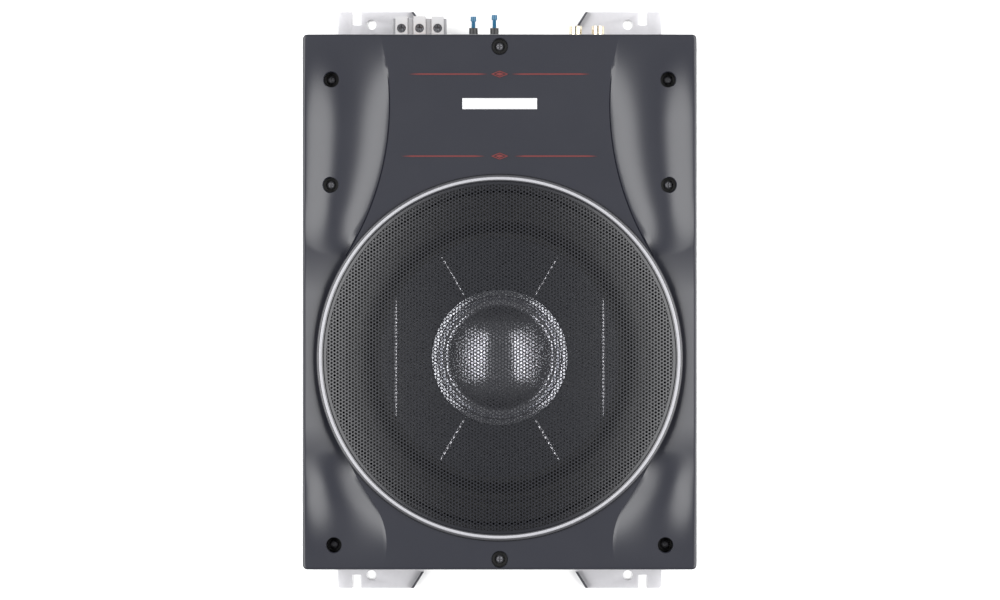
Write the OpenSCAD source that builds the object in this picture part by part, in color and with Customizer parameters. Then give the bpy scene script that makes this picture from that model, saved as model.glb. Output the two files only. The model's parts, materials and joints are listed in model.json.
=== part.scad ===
// Powered car subwoofer: a slim woofer and its amplifier under one cast cover.
// Millimetres. +Z is up and +Y points to the connector end. The origin lies on
// the floor, at the centre of the footprint over the tips of the four brackets.

/* [Cabinet] */
// Width of the cast cover
body_w = 248; // [246:0.5:252]
// Connector end wall, from the origin
front_y = 167.2; // [166.8:0.1:168]
// Closed end wall, from the origin
back_y = 169.7; // [169:0.1:171]
// Height of the flat panel
panel_z = 70; // [70:0.25:71]
// Thickness of the cast side walls
wall = 2.5; // [2.3:0.1:2.7]
// Thickness of the cast top
skin = 3; // [2.8:0.1:3.2]
// Radius of the upright corners
corner_r = 3; // [2:0.5:5]

/* [Woofer] */
// Distance of the woofer axis behind the origin
woofer_back = 36.3; // [35:0.1:37]
// Outer radius of the trim ring
ring_r = 115.3; // [114.5:0.1:115.8]
// Inner radius of the raised trim ring
ring_in = 111.3; // [110.8:0.1:111.6]
// Radius of the cone at its surround
cone_r = 78.6; // [77.5:0.1:79]
// Radius of the dust cap
cap_r = 42.8; // [40:0.2:44]
// Outer radius of the voice coil former
former_r = 24.85; // [24.8:0.01:24.9]
// Radius of the magnet
magnet_r = 50; // [46:0.5:52]
// Height of the grille dome over its rim
dome_h = 8; // [6:0.5:9]

/* [Brackets] */
// Bracket tip, from the origin
tip_y = 184.3; // [183:0.1:186]
// Distance of the floor holes from the Y axis
hole_x = 82; // [80:0.5:84]
// Distance of the floor holes from the X axis
hole_y = 176; // [175.5:0.25:176.5]
// Radius of the floor holes
hole_r = 3.2; // [2.8:0.1:3.4]
// Bracket sheet thickness
foot_t = 1.5; // [1.2:0.1:1.8]

/* [Connectors] */
// Spacing of the power terminals
term_pitch = 11.5; // [11.3:0.1:11.7]
// Radius of the terminal screws
term_screw_r = 2.8; // [2.7:0.05:2.85]
// Radius of the wire entries
wire_r = 2.6; // [2.4:0.1:2.7]
// Radius of the control shafts
shaft_r = 1.25; // [1.2:0.01:1.28]
// Radius of the phono jack barrels
rca_r = 4.15; // [4.1:0.01:4.2]

/* [Hidden] */
$fn = 96;

// Heights of the cabinet's layers
tray_t = 1.5;
tray_z = foot_t + tray_t;
gasket_t = 0.8;
cover_z = tray_z + gasket_t;
half_w = body_w / 2;
lip_h = 9;
far = 400;
over_z = 110;

// Woofer well and its stack of heights
ring_seat = panel_z - 2.5;
ledge_z = 62;
ledge_t = 3;
ledge_in = 98.6;
flange_r = 104;
well_r = 105;
well_wall_r = 119;
foam_t = 0.8;
sheet_t = 1.2;
yoke_z = 7;
plate_z = 26;
plate_t = 5;
pole_r = 24.2;
gap_r = 26.4;
coil_r = 25.9;
basket_z = plate_z + plate_t;
spider_z = basket_z + 6;
neck_z = 44;
edge_z = 54.5;
cone_t = 0.8;
mesh_z = 70;
mesh_t = 1;
mesh_r = ring_in - 0.1;

// Scoops pressed into the long sides: a long one by the panel, a short one at the back
crease_c = [-247.1, 122.6];
crease_r = 177.4;
scoop_end_c = [-100.4, 66];
scoop_end_r = 38;
bowl_c = [-115.2, -153.5];
bowl_r = 44;
small_bowl_c = [-109.5, -122];
small_bowl_r = 27.7;
valley_z = 61.5;
rim_z = 69.5;
facet_slope = 0.34;

// Cover screws: place, seat height and counterbore radius
side_seat = 57;
end_seat = 64;
cover_bolts = [
    [106, 138.7, side_seat, 4.8], [-106, 138.7, side_seat, 4.8],
    [106.4, 72.5, side_seat, 4.8], [-106.4, 72.5, side_seat, 4.8],
    [104.3, -154.1, side_seat, 4.8], [-104.3, -154.1, side_seat, 4.8],
    [0, 159.5, end_seat, 5.25], [0, -163.2, end_seat, 5.25]
];
boss_t = 4;
bolt_r = 1.5;
basket_bolt_r = 101.3;
basket_bolts = 8;

// Amplifier board and the connector panel
board_z = 14;
board_t = 1.6;
board_top = board_z + board_t;
panel_back = front_y - wall - 2;
panel_face = front_y - wall;
window_x = 74;
window_z = [9, 49];
flange_z = end_seat - boss_t;
jack_z = 24;
term_x = -50.9;
term_y = 172.6;
term_tip = 180.2;
term_top = 32;
term_chamber = [167.5, 176.2];
term_bore_z = 18.5;
rib_w = 3.7;
gain_x = -16.7;
gain_tip = 180.35;
crossover_x = -3.35;
crossover_tip = 181.3;
bush_r = 2.75;
bush_tip = 173;
rca_x = [48.35, 62.5];
rca_tip = 174.2;
switch_pos = [12, 38];
socket_pos = [24, 24];
fuse_pos = [-51, 41];
clear = 0.05;

// ---- helpers ----

// Outward normals of an open path, averaged at its corners
function unit(v) = v / norm(v);
function side(p, q) = unit([p.y - q.y, q.x - p.x]);
function path_normal(path, i) =
    let (last = len(path) - 1)
    let (a = side(path[max(i - 1, 0)], path[max(i, 1)]))
    let (b = side(path[min(i, last - 1)], path[min(i + 1, last)]))
    let (m = unit(a + b))
    m / max(0.4, m * a);

// Sheet of thickness t on the upper side of a radius and height path
function sheet(path, t) = concat(
    path,
    [for (i = [len(path) - 1 : -1 : 0]) path[i] + t * path_normal(path, i)]
);

module on_woofer() {
    translate([0, -woofer_back, 0]) children();
}

module ring_solid(r_in, r_out, z0, z1) {
    translate([0, 0, z0]) difference() {
        cylinder(h = z1 - z0, r = r_out);
        translate([0, 0, -1]) cylinder(h = z1 - z0 + 2, r = r_in);
    }
}

module box(low, high) {
    translate(low) cube(high - low);
}

// Cylinder along +Y from y0 to y1
module rod_y(x, z, r, y0, y1) {
    translate([x, y0, z]) rotate([-90, 0, 0]) cylinder(h = y1 - y0, r = r);
}

// Round wire between two points
module wire(p, q, r) {
    d = q - p;
    translate(p)
        rotate([0, acos(d.z / norm(d)), atan2(d.y, d.x)])
            cylinder(h = norm(d), r = r, $fn = 16);
}

module wire_path(points, r) {
    for (i = [0 : len(points) - 2]) wire(points[i], points[i + 1], r);
    for (i = [1 : len(points) - 2]) translate(points[i]) sphere(r = r, $fn = 16);
}

// ---- cabinet ----

// Plan outline of the cabinet, drawn in by a margin
module footprint(inset) {
    r = max(0.6, corner_r - inset);
    x = half_w - inset - r;
    hull() for (sx = [-1, 1]) {
        translate([sx * x, front_y - inset - r]) circle(r = r, $fn = 24);
        translate([sx * x, -back_y + inset + r]) circle(r = r, $fn = 24);
    }
}

module cover_block(inset, low, high) {
    translate([0, 0, low]) linear_extrude(high - low) footprint(inset);
}

// Prism along Y over everything above a path of x and z
module above_x(path) {
    translate([0, far / 2, 0]) rotate([90, 0, 0]) linear_extrude(far)
        polygon(concat([[path[0].x, over_z]], path, [[path[len(path) - 1].x, over_z]]));
}

// Prism along X over everything above a path of y and z
module above_y(path) {
    translate([-far / 2, 0, 0]) rotate([90, 0, 90]) linear_extrude(far)
        polygon(concat([[path[0].x, over_z]], path, [[path[len(path) - 1].x, over_z]]));
}

// Flank that falls from the rim along the long side down to the valley
module outer_flank(grow) {
    above_x([
        [-half_w - 20, rim_z - grow], [-half_w, rim_z - grow], [5 - half_w, rim_z - 1.6 - grow],
        [16 - half_w, valley_z + 1.2 - grow], [24 - half_w, valley_z - grow], [0, valley_z - grow]
    ]);
}

// The long hollow: valley, outer flank, coned flank under the crease, and a ramp at its end
module long_scoop(grow) {
    intersection() {
        outer_flank(grow);
        above_y([[-far, valley_z - grow], [112, valley_z - grow], [164, panel_z - grow], [far, panel_z - grow]]);
        translate(crease_c) rotate_extrude() polygon([
            [0, over_z], [0, valley_z - 1 - grow], [crease_r - 24, valley_z - 0.5 - grow],
            [crease_r - 12, valley_z + 3 - grow], [crease_r + grow, panel_z - 0.8 - grow],
            [crease_r + grow, over_z]
        ]);
        union() {
            translate([scoop_end_c.x, scoop_end_c.y, 20]) cylinder(h = over_z, r = scoop_end_r + grow);
            box([-half_w - 20, scoop_end_c.y, 20], [-50, front_y + 20, over_z]);
        }
    }
}

// The short hollow at the back: two bowls that run together, with a ramp at the end
module short_scoop(grow) {
    intersection() {
        outer_flank(grow);
        above_y([[-far, panel_z - grow], [-167, panel_z - grow], [-136, valley_z - grow], [0, valley_z - grow]]);
        union() {
            translate(bowl_c) rotate_extrude() polygon([
                [0, over_z], [0, valley_z - 1 - grow], [20, valley_z - 0.5 - grow],
                [bowl_r + grow, panel_z - 0.8 - grow], [bowl_r + grow, over_z]
            ]);
            translate([small_bowl_c.x, small_bowl_c.y, 20])
                cylinder(h = over_z, r = small_bowl_r + grow);
        }
    }
}

// Facet between the two hollows: it falls inwards from the rim to the ring's wall
module side_facet(grow) {
    reach = 30;
    intersection() {
        above_x([
            [-half_w - 20, rim_z - grow], [-half_w, rim_z - grow],
            [reach - half_w, rim_z - reach * facet_slope - grow]
        ]);
        box([-half_w - 20, small_bowl_c.y - grow, 20], [reach - half_w, scoop_end_c.y + grow, over_z]);
    }
}

module scoops(grow) {
    for (m = [0, 1]) mirror([m, 0, 0]) {
        long_scoop(grow);
        short_scoop(grow);
        difference() {
            side_facet(grow);
            if (grow == 0) on_woofer() cylinder(h = over_z, r = ring_r);
        }
    }
}

module cover_bosses() {
    for (b = cover_bolts)
        translate([b.x, b.y, b.z - boss_t]) cylinder(h = far, r = b[3] + 2.6, $fn = 48);
}

module top_cover() {
    color([0.17, 0.17, 0.19]) difference() {
        cover_block(0, cover_z, panel_z);
        scoops(0);
        difference() {
            cover_block(wall, cover_z - 1, panel_z - skin);
            scoops(skin);
            cover_bosses();
            on_woofer() translate([0, 0, ledge_z - ledge_t]) cylinder(h = far, r = well_wall_r);
        }
        for (b = cover_bolts) translate([b.x, b.y, 0]) {
            translate([0, 0, b.z]) cylinder(h = far, r = b[3], $fn = 48);
            cylinder(h = far, r = bolt_r + 0.2, $fn = 32);
        }
        on_woofer() {
            translate([0, 0, ring_seat]) cylinder(h = far, r = ring_r + 0.4);
            translate([0, 0, ledge_z]) cylinder(h = far, r = well_r);
            cylinder(h = far, r = ledge_in);
            for (i = [1 : basket_bolts]) rotate((i + 0.5) * 360 / basket_bolts)
                translate([basket_bolt_r, 0, 0]) cylinder(h = far, r = 1.25, $fn = 24);
        }
        box([-window_x, front_y - 20, window_z[0]], [window_x, front_y + 20, window_z[1]]);
    }
}

module bottom_tray() {
    pillar_r = 3.7;
    color([0.12, 0.12, 0.13]) difference() {
        union() {
            translate([0, 0, foot_t]) linear_extrude(tray_t) footprint(0);
            translate([0, 0, foot_t]) linear_extrude(tray_t + lip_h) difference() {
                footprint(wall + 0.3);
                footprint(wall + 1.8);
                translate([-window_x - 8, front_y - 20]) square([2 * window_x + 16, 40]);
            }
            for (b = cover_bolts) if (b.y != cover_bolts[6].y)
                translate([b.x, b.y, foot_t]) cylinder(h = b.z - boss_t - foot_t, r = pillar_r, $fn = 32);
            bracket_bolt_places() translate([0, 0, foot_t]) cylinder(h = 6, r = 4, $fn = 32);
        }
        for (b = cover_bolts) if (b.y != cover_bolts[6].y)
            translate([b.x, b.y, tray_z]) cylinder(h = far, r = bolt_r + clear, $fn = 32);
        bracket_bolt_places() cylinder(h = far, r = bolt_r + clear, $fn = 32);
    }
}

module cover_gasket() {
    color([0.05, 0.05, 0.05]) translate([0, 0, tray_z]) linear_extrude(gasket_t) difference() {
        footprint(0);
        footprint(wall);
    }
}

// Pan head screw with a cross recess, its seat at z = 0 and its head up
module pan_screw(head_r, head_h, shank_r, length) {
    difference() {
        union() {
            cylinder(h = head_h, r1 = head_r, r2 = head_r * 0.72, $fn = 32);
            translate([0, 0, -length]) cylinder(h = length + 0.1, r = shank_r, $fn = 24);
        }
        for (a = [0, 90]) rotate(a)
            translate([-head_r * 0.5, -head_r * 0.11, head_h * 0.35])
                cube([head_r, head_r * 0.22, head_h]);
    }
}

module cover_screws() {
    color([0.06, 0.06, 0.07]) for (b = cover_bolts)
        translate([b.x, b.y, b.z]) pan_screw(2.75, 2.3, bolt_r, 16);
}

// ---- floor brackets ----

module bracket_bolt_places() {
    for (sx = [-1, 1], sy = [-1, 1], x = [60, 95])
        translate([sx * x, sy * 155, 0]) children();
}

// One bracket in the +X +Y corner: a plate with an open slot, a round hole and a turned-up end
module bracket_shape() {
    outer_x = 103.3;
    inner_x = 54.9;
    heel_x = 48.4;
    heel_y = 173.9;
    root_y = 143;
    slot_x = 91.5;
    slot_r = 2.9;
    slot_y = 175.9;
    nose_r = 1.8;
    lip = 4;
    difference() {
        union() {
            linear_extrude(foot_t) polygon([
                [heel_x, root_y], [outer_x, root_y], [outer_x, tip_y - nose_r],
                [outer_x - nose_r * 0.29, tip_y - nose_r * 0.29],
                [outer_x - nose_r, tip_y], [inner_x, tip_y], [heel_x, heel_y]
            ]);
            linear_extrude(foot_t + lip) polygon([
                [inner_x, tip_y], [heel_x, heel_y], [heel_x + 1.6, heel_y], [inner_x + 1.6, tip_y]
            ]);
        }
        box([slot_x - slot_r, slot_y, -1], [slot_x + slot_r, tip_y + 1, 8]);
        translate([hole_x, hole_y, -1]) cylinder(h = 9, r = hole_r, $fn = 48);
        for (x = [60, 95]) translate([x, 155, -0.01]) {
            cylinder(h = far, r = bolt_r + clear, $fn = 32);
            cylinder(h = 1.3, r1 = 2.9, r2 = 1.6, $fn = 32);
        }
    }
}

module foot_bracket(sx, sy) {
    color([0.79, 0.78, 0.81])
        mirror([sx < 0 ? 1 : 0, 0, 0]) mirror([0, sy < 0 ? 1 : 0, 0]) bracket_shape();
}

module bracket_screws() {
    color([0.6, 0.6, 0.62]) bracket_bolt_places() difference() {
        union() {
            cylinder(h = 1.28, r1 = 2.84, r2 = 1.56, $fn = 32);
            cylinder(h = 7, r = bolt_r, $fn = 24);
        }
        translate([-2, -0.35, -1]) cube([4, 0.7, 1.6]);
    }
}

// ---- ring and grille ----

module trim_ring() {
    ledge_r = 106;
    color([0.42, 0.42, 0.45]) on_woofer() rotate_extrude($fn = 180) polygon([
        [ledge_r, ring_seat], [ring_r, ring_seat], [ring_r, panel_z + 1.2],
        [ring_r - 1.1, panel_z + 2.3], [113.9, panel_z + 2.3], [113.9, panel_z + 1.8],
        [111.8, panel_z + 1.8], [111.8, panel_z + 2.3], [ring_in, panel_z + 2],
        [ring_in, mesh_z], [ledge_r, mesh_z]
    ]);
}

module trim_band() {
    color([0.82, 0.82, 0.85]) on_woofer()
        ring_solid(111.9, 113.8, panel_z + 1.8, panel_z + 2.7, $fn = 180);
}

module grille_mesh() {
    rings = 10;
    rim = [for (i = [0 : rings])
        let (r = mesh_r * i / rings)
        [r, mesh_z + dome_h * (1 - pow(r / mesh_r, 4))]];
    top = [for (i = [rings : -1 : 0]) rim[i] + [0, mesh_t]];
    color([0.1, 0.1, 0.11]) on_woofer() rotate_extrude() polygon(concat(rim, top));
}

// ---- decoration on the panel ----

module badge_plate() {
    color([0.75, 0.75, 0.77]) translate([0, 123.5, panel_z]) linear_extrude(0.6)
        hull() for (sx = [-1, 1]) translate([sx * 20, 0]) circle(r = 3.5, $fn = 32);
}

module pin_stripes() {
    stripe_w = 0.9;
    rows = [[142.1, 7.5, 57], [90.5, 9.4, 61.6]];
    color([0.62, 0.06, 0.08]) for (row = rows) {
        for (m = [0, 1]) mirror([m, 0, 0])
            box([row[1], row[0] - stripe_w / 2, panel_z], [row[2], row[0] + stripe_w / 2, panel_z + 0.3]);
        translate([0, row[0], panel_z]) linear_extrude(0.5)
            polygon([[-5.5, 0], [0, -2.2], [5.5, 0], [0, 2.2]]);
    }
}

// ---- woofer ----

module woofer_basket() {
    frame_path = [
        [30, basket_z], [48, basket_z], [48, spider_z], [56, spider_z], [84, 46], [92, 61.2],
        [97.6, 61.2], [97.6, ledge_z + foam_t], [flange_r, ledge_z + foam_t]
    ];
    window = [22, 34, 40];
    color([0.14, 0.14, 0.15]) on_woofer() difference() {
        union() {
            rotate_extrude() polygon(sheet(frame_path, sheet_t));
            box([-14, 55.5, 28], [14, 57, spider_z + 1]);
        }
        for (i = [0 : 5]) rotate(30 + i * 60)
            translate([60, -window.y / 2, 30]) cube(window - [0, 0, 12]);
        for (i = [1 : basket_bolts]) rotate((i + 0.5) * 360 / basket_bolts)
            translate([basket_bolt_r, 0, 50]) cylinder(h = 30, r = 1.35, $fn = 24);
    }
}

module woofer_gasket() {
    color([0.06, 0.06, 0.06]) on_woofer() difference() {
        ring_solid(ledge_in + 0.2, flange_r, ledge_z, ledge_z + foam_t);
        for (i = [1 : basket_bolts]) rotate((i + 0.5) * 360 / basket_bolts)
            translate([basket_bolt_r, 0, 50]) cylinder(h = 30, r = 1.35, $fn = 24);
    }
}

module basket_screws() {
    color([0.08, 0.08, 0.09]) on_woofer() for (i = [1 : basket_bolts])
        rotate((i + 0.5) * 360 / basket_bolts)
            translate([basket_bolt_r, 0, ledge_z + foam_t + sheet_t]) pan_screw(2.1, 1.4, 1.2, 6);
}

module yoke() {
    color([0.35, 0.35, 0.36]) on_woofer() difference() {
        union() {
            translate([0, 0, yoke_z]) cylinder(h = 5, r = magnet_r - 1);
            translate([0, 0, yoke_z]) cylinder(h = basket_z - yoke_z, r = pole_r);
        }
        translate([0, 0, yoke_z - 1]) cylinder(h = 60, r = 9);
    }
}

module magnet() {
    color([0.1, 0.1, 0.1]) on_woofer() ring_solid(29.5, magnet_r, yoke_z + 5, plate_z);
}

module top_plate() {
    color([0.5, 0.5, 0.52]) on_woofer() ring_solid(gap_r, magnet_r - 2, plate_z, basket_z);
}

module surround() {
    roll_in = cone_r + 0.6;
    roll_out = 92.5;
    low = edge_z + 0.9;
    high = 62.5;
    steps = 12;
    roll = [for (i = [0 : steps])
        let (t = i / steps)
        [roll_in + (roll_out - roll_in) * t, low + (high - low) * t + 3.8 * sin(180 * t)]];
    color([0.07, 0.07, 0.07]) on_woofer() rotate_extrude()
        polygon(sheet(concat([[cone_r - 3, low - 0.3]], roll, [[96.3, high]]), 0.6));
}

module cone() {
    color([0.6, 0.61, 0.64]) on_woofer() rotate_extrude()
        polygon(sheet([[former_r + 0.95, neck_z - 2.5], [former_r + 1.3, neck_z], [cone_r, edge_z]], cone_t));
}

module dust_cap() {
    rings = 8;
    rim_z = 48.6;
    rise = 15;
    low = [for (i = [0 : rings])
        let (r = cap_r * i / rings)
        [r, rim_z + rise * (1 - pow(r / cap_r, 2))]];
    color([0.7, 0.7, 0.73]) on_woofer() rotate_extrude()
        polygon(concat(low, [for (i = [rings : -1 : 0]) low[i] + [0, 0.6]]));
}

module voice_coil_former() {
    color([0.65, 0.5, 0.3]) on_woofer() ring_solid(former_r - 0.25, former_r, 19, neck_z - 0.5);
}

module voice_coil() {
    color([0.72, 0.4, 0.2]) on_woofer() ring_solid(former_r, coil_r, 21.5, 35.5);
}

module spider() {
    waves = 9;
    inner = former_r + 0.4;
    path = concat(
        [[inner, 38.4]],
        [for (i = [1 : waves]) [inner + 1.5 + i * 2.2, i % 2 == 0 ? 38.7 : 40.2]],
        [[49, spider_z + sheet_t + 0.1], [54.5, spider_z + sheet_t + 0.1]]
    );
    color([0.75, 0.6, 0.3]) on_woofer() rotate_extrude() polygon(sheet(path, 0.45));
}

// Two braided leads, each a slack arc from the basket's tab up to the cone
module tinsel_leads() {
    arc_r = 9;
    arc_c = [52.76, 48.67];
    color([0.7, 0.6, 0.4]) on_woofer() for (x = [-8, 8])
        translate([x, arc_c.x, arc_c.y]) rotate([90, 0, 90]) rotate(-166.7)
            rotate_extrude(angle = 81.4) translate([arc_r, 0]) circle(r = 0.5, $fn = 16);
}

module woofer_terminals() {
    strip_y = 57;
    color([0.62, 0.45, 0.25]) on_woofer() {
        box([-13, strip_y, 27], [13, strip_y + 1.6, 36]);
        for (x = [-8, 8]) box([x - 2.4, strip_y + 1.6, 30.4], [x + 2.4, strip_y + 6.5, 31.2]);
    }
}

module speaker_leads() {
    color([0.6, 0.08, 0.08]) for (x = [-8, 8])
        wire_path([[x, 87.2, 14.8], [x, 74, 9], [x, 46, 9], [x, 34, 24], [x, 26.6, 30.8]], 1.2);
}

// ---- amplifier ----

module amplifier_board() {
    color([0.05, 0.3, 0.15]) difference() {
        box([-90, 88, board_z], [90, 161, board_top]);
        for (x = [-84, 84], y = [94, 151])
            translate([x, y, 0]) cylinder(h = 60, r = 1.6, $fn = 32);
    }
}

module board_standoffs() {
    color([0.85, 0.85, 0.8]) for (x = [-84, 84], y = [94, 151]) translate([x, y, 0]) {
        translate([0, 0, tray_z]) cylinder(h = board_z - tray_z, r = 3.2, $fn = 6);
        translate([0, 0, tray_z]) cylinder(h = board_top - tray_z + 1.5, r = 1.55, $fn = 32);
        translate([0, 0, board_top]) cylinder(h = 1.8, r1 = 2.6, r2 = 1.8, $fn = 32);
    }
}

module heat_sink_bar() {
    color([0.6, 0.6, 0.62]) {
        box([-76, 96, board_top], [76, 100, 40]);
        for (i = [0 : 18]) box([-72 + i * 8 - 0.8, 90, board_top + 2], [-72 + i * 8 + 0.8, 96, 40]);
    }
}

module power_transistors() {
    color([0.08, 0.08, 0.08]) for (i = [0 : 3]) translate([-57 + i * 38, 0, 0]) {
        box([-5, 100, 20], [5, 104.4, 35]);
        for (x = [-2.5, 0, 2.5]) box([x - 0.4, 101.4, board_top], [x + 0.4, 102.2, 20]);
    }
}

module filter_capacitors() {
    color([0.12, 0.12, 0.3]) for (i = [0 : 3])
        translate([-62 + i * 23, 124, board_top]) cylinder(h = 28, r = 9, $fn = 48);
}

module toroid_core() {
    color([0.35, 0.35, 0.38]) translate([54, 126, 0]) ring_solid(9, 16, 18.6, 27.6);
}

module toroid_winding() {
    color([0.72, 0.42, 0.2]) translate([54, 126, 0]) rotate_extrude(angle = 300) difference() {
        translate([7, 16.6]) square([11, 13]);
        translate([9, 18.6]) square([7, 9]);
    }
}

// ---- connector panel ----

module connector_panel() {
    color([0.55, 0.55, 0.57]) difference() {
        union() {
            box([-window_x - 6, panel_back, 5], [window_x + 6, panel_face, flange_z]);
            box([-30, panel_back - 12, flange_z - 2], [30, panel_face, flange_z]);
        }
        translate([0, cover_bolts[6].y, 0]) cylinder(h = far, r = bolt_r + clear, $fn = 32);
        for (x = [gain_x, crossover_x]) rod_y(x, jack_z, bush_r + clear, 150, 170);
        for (x = rca_x) rod_y(x, jack_z, 3.7, 150, 170);
        box([socket_pos.x - 11, 150, socket_pos.y - 7], [socket_pos.x + 11, 170, socket_pos.y + 7]);
        box([fuse_pos.x - 12.5, 150, fuse_pos.y - 6.5], [fuse_pos.x + 12.5, 170, fuse_pos.y + 6.5]);
        box([switch_pos.x - 4.5, 150, switch_pos.y - 2], [switch_pos.x + 4.5, 170, switch_pos.y + 2]);
        rod_y(36, 40, 2.5, 150, 170);
    }
}

// Grey plastic holder of the power terminals: floor, back and ribs between the poles
module terminal_housing() {
    rib_tip = 178.8;
    color([0.5, 0.5, 0.53]) {
        box([term_x - 1.5 * term_pitch, panel_face, 12], [term_x + 1.5 * term_pitch, rib_tip, 13]);
        box([term_x - 1.5 * term_pitch, panel_face, 13], [term_x + 1.5 * term_pitch, panel_face + 1, 31]);
        for (i = [0 : 3]) {
            low = max(term_x + (i - 1.5) * term_pitch - rib_w / 2, term_x - 1.5 * term_pitch);
            high = min(term_x + (i - 1.5) * term_pitch + rib_w / 2, term_x + 1.5 * term_pitch);
            box([low, panel_face + 1, 13], [high, rib_tip, 31]);
        }
    }
}

// Plated clamp blocks: a round wire entry, a clamping chamber and a tapped hole
module terminal_contacts() {
    half = (term_pitch - rib_w) / 2;
    color([0.8, 0.8, 0.78]) for (i = [-1 : 1]) translate([term_x + i * term_pitch, 0, 0])
        difference() {
            box([-half, panel_face + 1, 13], [half, term_tip, term_top]);
            box([-2.9, term_chamber[0], 15.2], [2.9, term_chamber[1], 25]);
            rod_y(0, term_bore_z, wire_r, term_chamber[1] - 1, term_tip + 1);
            translate([0, term_y, 24]) cylinder(h = 20, r = term_screw_r + clear, $fn = 48);
        }
}

module terminal_screw(i) {
    color([0.68, 0.68, 0.66]) translate([term_x + (i - 2) * term_pitch, term_y, 0]) difference() {
        translate([0, 0, 23.5]) cylinder(h = 8.1, r = term_screw_r, $fn = 48);
        for (a = [0, 90]) rotate(a) box([-1.9, -0.4, 30.2], [1.9, 0.4, 33]);
    }
}

module pressure_plate(i) {
    color([0.75, 0.75, 0.7]) translate([term_x + (i - 2) * term_pitch, 0, 0])
        box([-2.8, 168.6, 22.2], [2.8, 175.9, 23.4]);
}

// Potentiometer body with the hole that its shaft runs in
module pot_body(x) {
    difference() {
        box([x - 5, 153, board_top], [x + 5, panel_back, jack_z + 5]);
        rod_y(x, jack_z, shaft_r + clear, 154, 170);
    }
}

// Control shaft with a flared, slotted tip
module control_shaft(x, tip) {
    flare = 3.2;
    tip_r = 1.95;
    color([0.12, 0.3, 0.72]) difference() {
        union() {
            rod_y(x, jack_z, shaft_r, 154.5, tip);
            rod_y(x, jack_z, tip_r, tip - flare, tip);
        }
        box([x - 3, tip - 1.6, jack_z - 0.4], [x + 3, tip + 1, jack_z + 0.4]);
    }
}

module pot_bushes() {
    color([0.07, 0.07, 0.08]) for (x = [gain_x, crossover_x]) difference() {
        rod_y(x, jack_z, bush_r, panel_back, bush_tip);
        rod_y(x, jack_z, shaft_r + clear, 150, 180);
    }
}

module rca_shells() {
    color([0.85, 0.7, 0.35]) for (x = rca_x) difference() {
        union() {
            rod_y(x, jack_z, rca_r, panel_face, rca_tip);
            rod_y(x, jack_z, 5.2, panel_face, panel_face + 1.2);
        }
        rod_y(x, jack_z, 3.6, 150, 190);
    }
}

module rca_housing() {
    color([0.08, 0.08, 0.08]) difference() {
        union() {
            box([rca_x[0] - 6, 153, board_top], [rca_x[1] + 6, panel_back, 31]);
            for (x = rca_x) rod_y(x, jack_z, 3.6, panel_back, rca_tip - 2);
        }
        for (x = rca_x) rod_y(x, jack_z, 2.1, 156, 190);
    }
}

module rca_contacts() {
    color([0.8, 0.65, 0.3]) for (x = rca_x) difference() {
        rod_y(x, jack_z, 2.1, 156, rca_tip - 2.5);
        rod_y(x, jack_z, 1.6, 160, 190);
    }
}

module high_level_socket() {
    tip = front_y - 0.3;
    x = socket_pos.x;
    z = socket_pos.y;
    color([0.88, 0.87, 0.82]) {
        difference() {
            box([x - 10, 154, z - 6], [x + 10, tip, z + 6]);
            box([x - 8, 157, z - 4], [x + 8, tip + 5, z + 4]);
        }
        for (i = [-1.5 : 1 : 1.5]) rod_y(x + i * 4, z, 0.6, 156.5, 160);
    }
}

module fuse_holder() {
    x = fuse_pos.x;
    z = fuse_pos.y;
    color([0.07, 0.07, 0.07]) difference() {
        box([x - 12, 154, z - 6], [x + 12, panel_face + 1, z + 6]);
        for (s = [-1, 1]) box([x - 10, 157, z + s * 3 - 2.2], [x + 10, 180, z + s * 3 + 2.2]);
    }
}

module fuses() {
    x = fuse_pos.x;
    z = fuse_pos.y;
    color([0.85, 0.45, 0.1]) for (s = [-1, 1])
        box([x - 9.6, 157.5, z + s * 3 - 2], [x + 9.6, front_y - 0.4, z + s * 3 + 2]);
}

module power_led() {
    color([0.2, 0.75, 0.3]) {
        rod_y(36, 40, 2.3, 158, 164.4);
        translate([36, 164.4, 40]) rotate([-90, 0, 0]) cylinder(h = 1.6, r1 = 2.3, r2 = 1.3, $fn = 48);
    }
}

module phase_switch_body() {
    x = switch_pos.x;
    z = switch_pos.y;
    color([0.5, 0.5, 0.52]) difference() {
        box([x - 7, 155, z - 3.5], [x + 7, panel_back, z + 3.5]);
        box([x - 4.4, 157, z - 1.9], [x + 4.4, 170, z + 1.9]);
    }
}

// Slider of the phase switch, at the left end of its slot
module phase_slider() {
    x = switch_pos.x - 2;
    z = switch_pos.y;
    color([0.07, 0.07, 0.07]) box([x - 2, 157.3, z - 1.6], [x + 2, 166.4, z + 1.6]);
}

top_cover();
bottom_tray();
cover_gasket();
cover_screws();
foot_bracket(1, 1);  // foot_bracket_1
foot_bracket(-1, 1);  // foot_bracket_2
foot_bracket(-1, -1);  // foot_bracket_3
foot_bracket(1, -1);  // foot_bracket_4
bracket_screws();
trim_ring();
trim_band();
grille_mesh();
badge_plate();
pin_stripes();
woofer_basket();
woofer_gasket();
basket_screws();
yoke();
magnet();
top_plate();
surround();
cone();
dust_cap();
voice_coil_former();
voice_coil();
spider();
tinsel_leads();
woofer_terminals();
speaker_leads();
amplifier_board();
board_standoffs();
heat_sink_bar();
power_transistors();
filter_capacitors();
toroid_core();
toroid_winding();
connector_panel();
terminal_housing();
terminal_contacts();
terminal_screw(1);  // terminal_screw_1
terminal_screw(2);  // terminal_screw_2
terminal_screw(3);  // terminal_screw_3
pressure_plate(1);  // pressure_plate_1
pressure_plate(2);  // pressure_plate_2
pressure_plate(3);  // pressure_plate_3
color([0.1, 0.2, 0.5]) pot_body(gain_x);  // gain_pot_body
control_shaft(gain_x, gain_tip);  // gain_shaft
color([0.1, 0.2, 0.5]) pot_body(crossover_x);  // crossover_pot_body
control_shaft(crossover_x, crossover_tip);  // crossover_shaft
pot_bushes();
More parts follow.
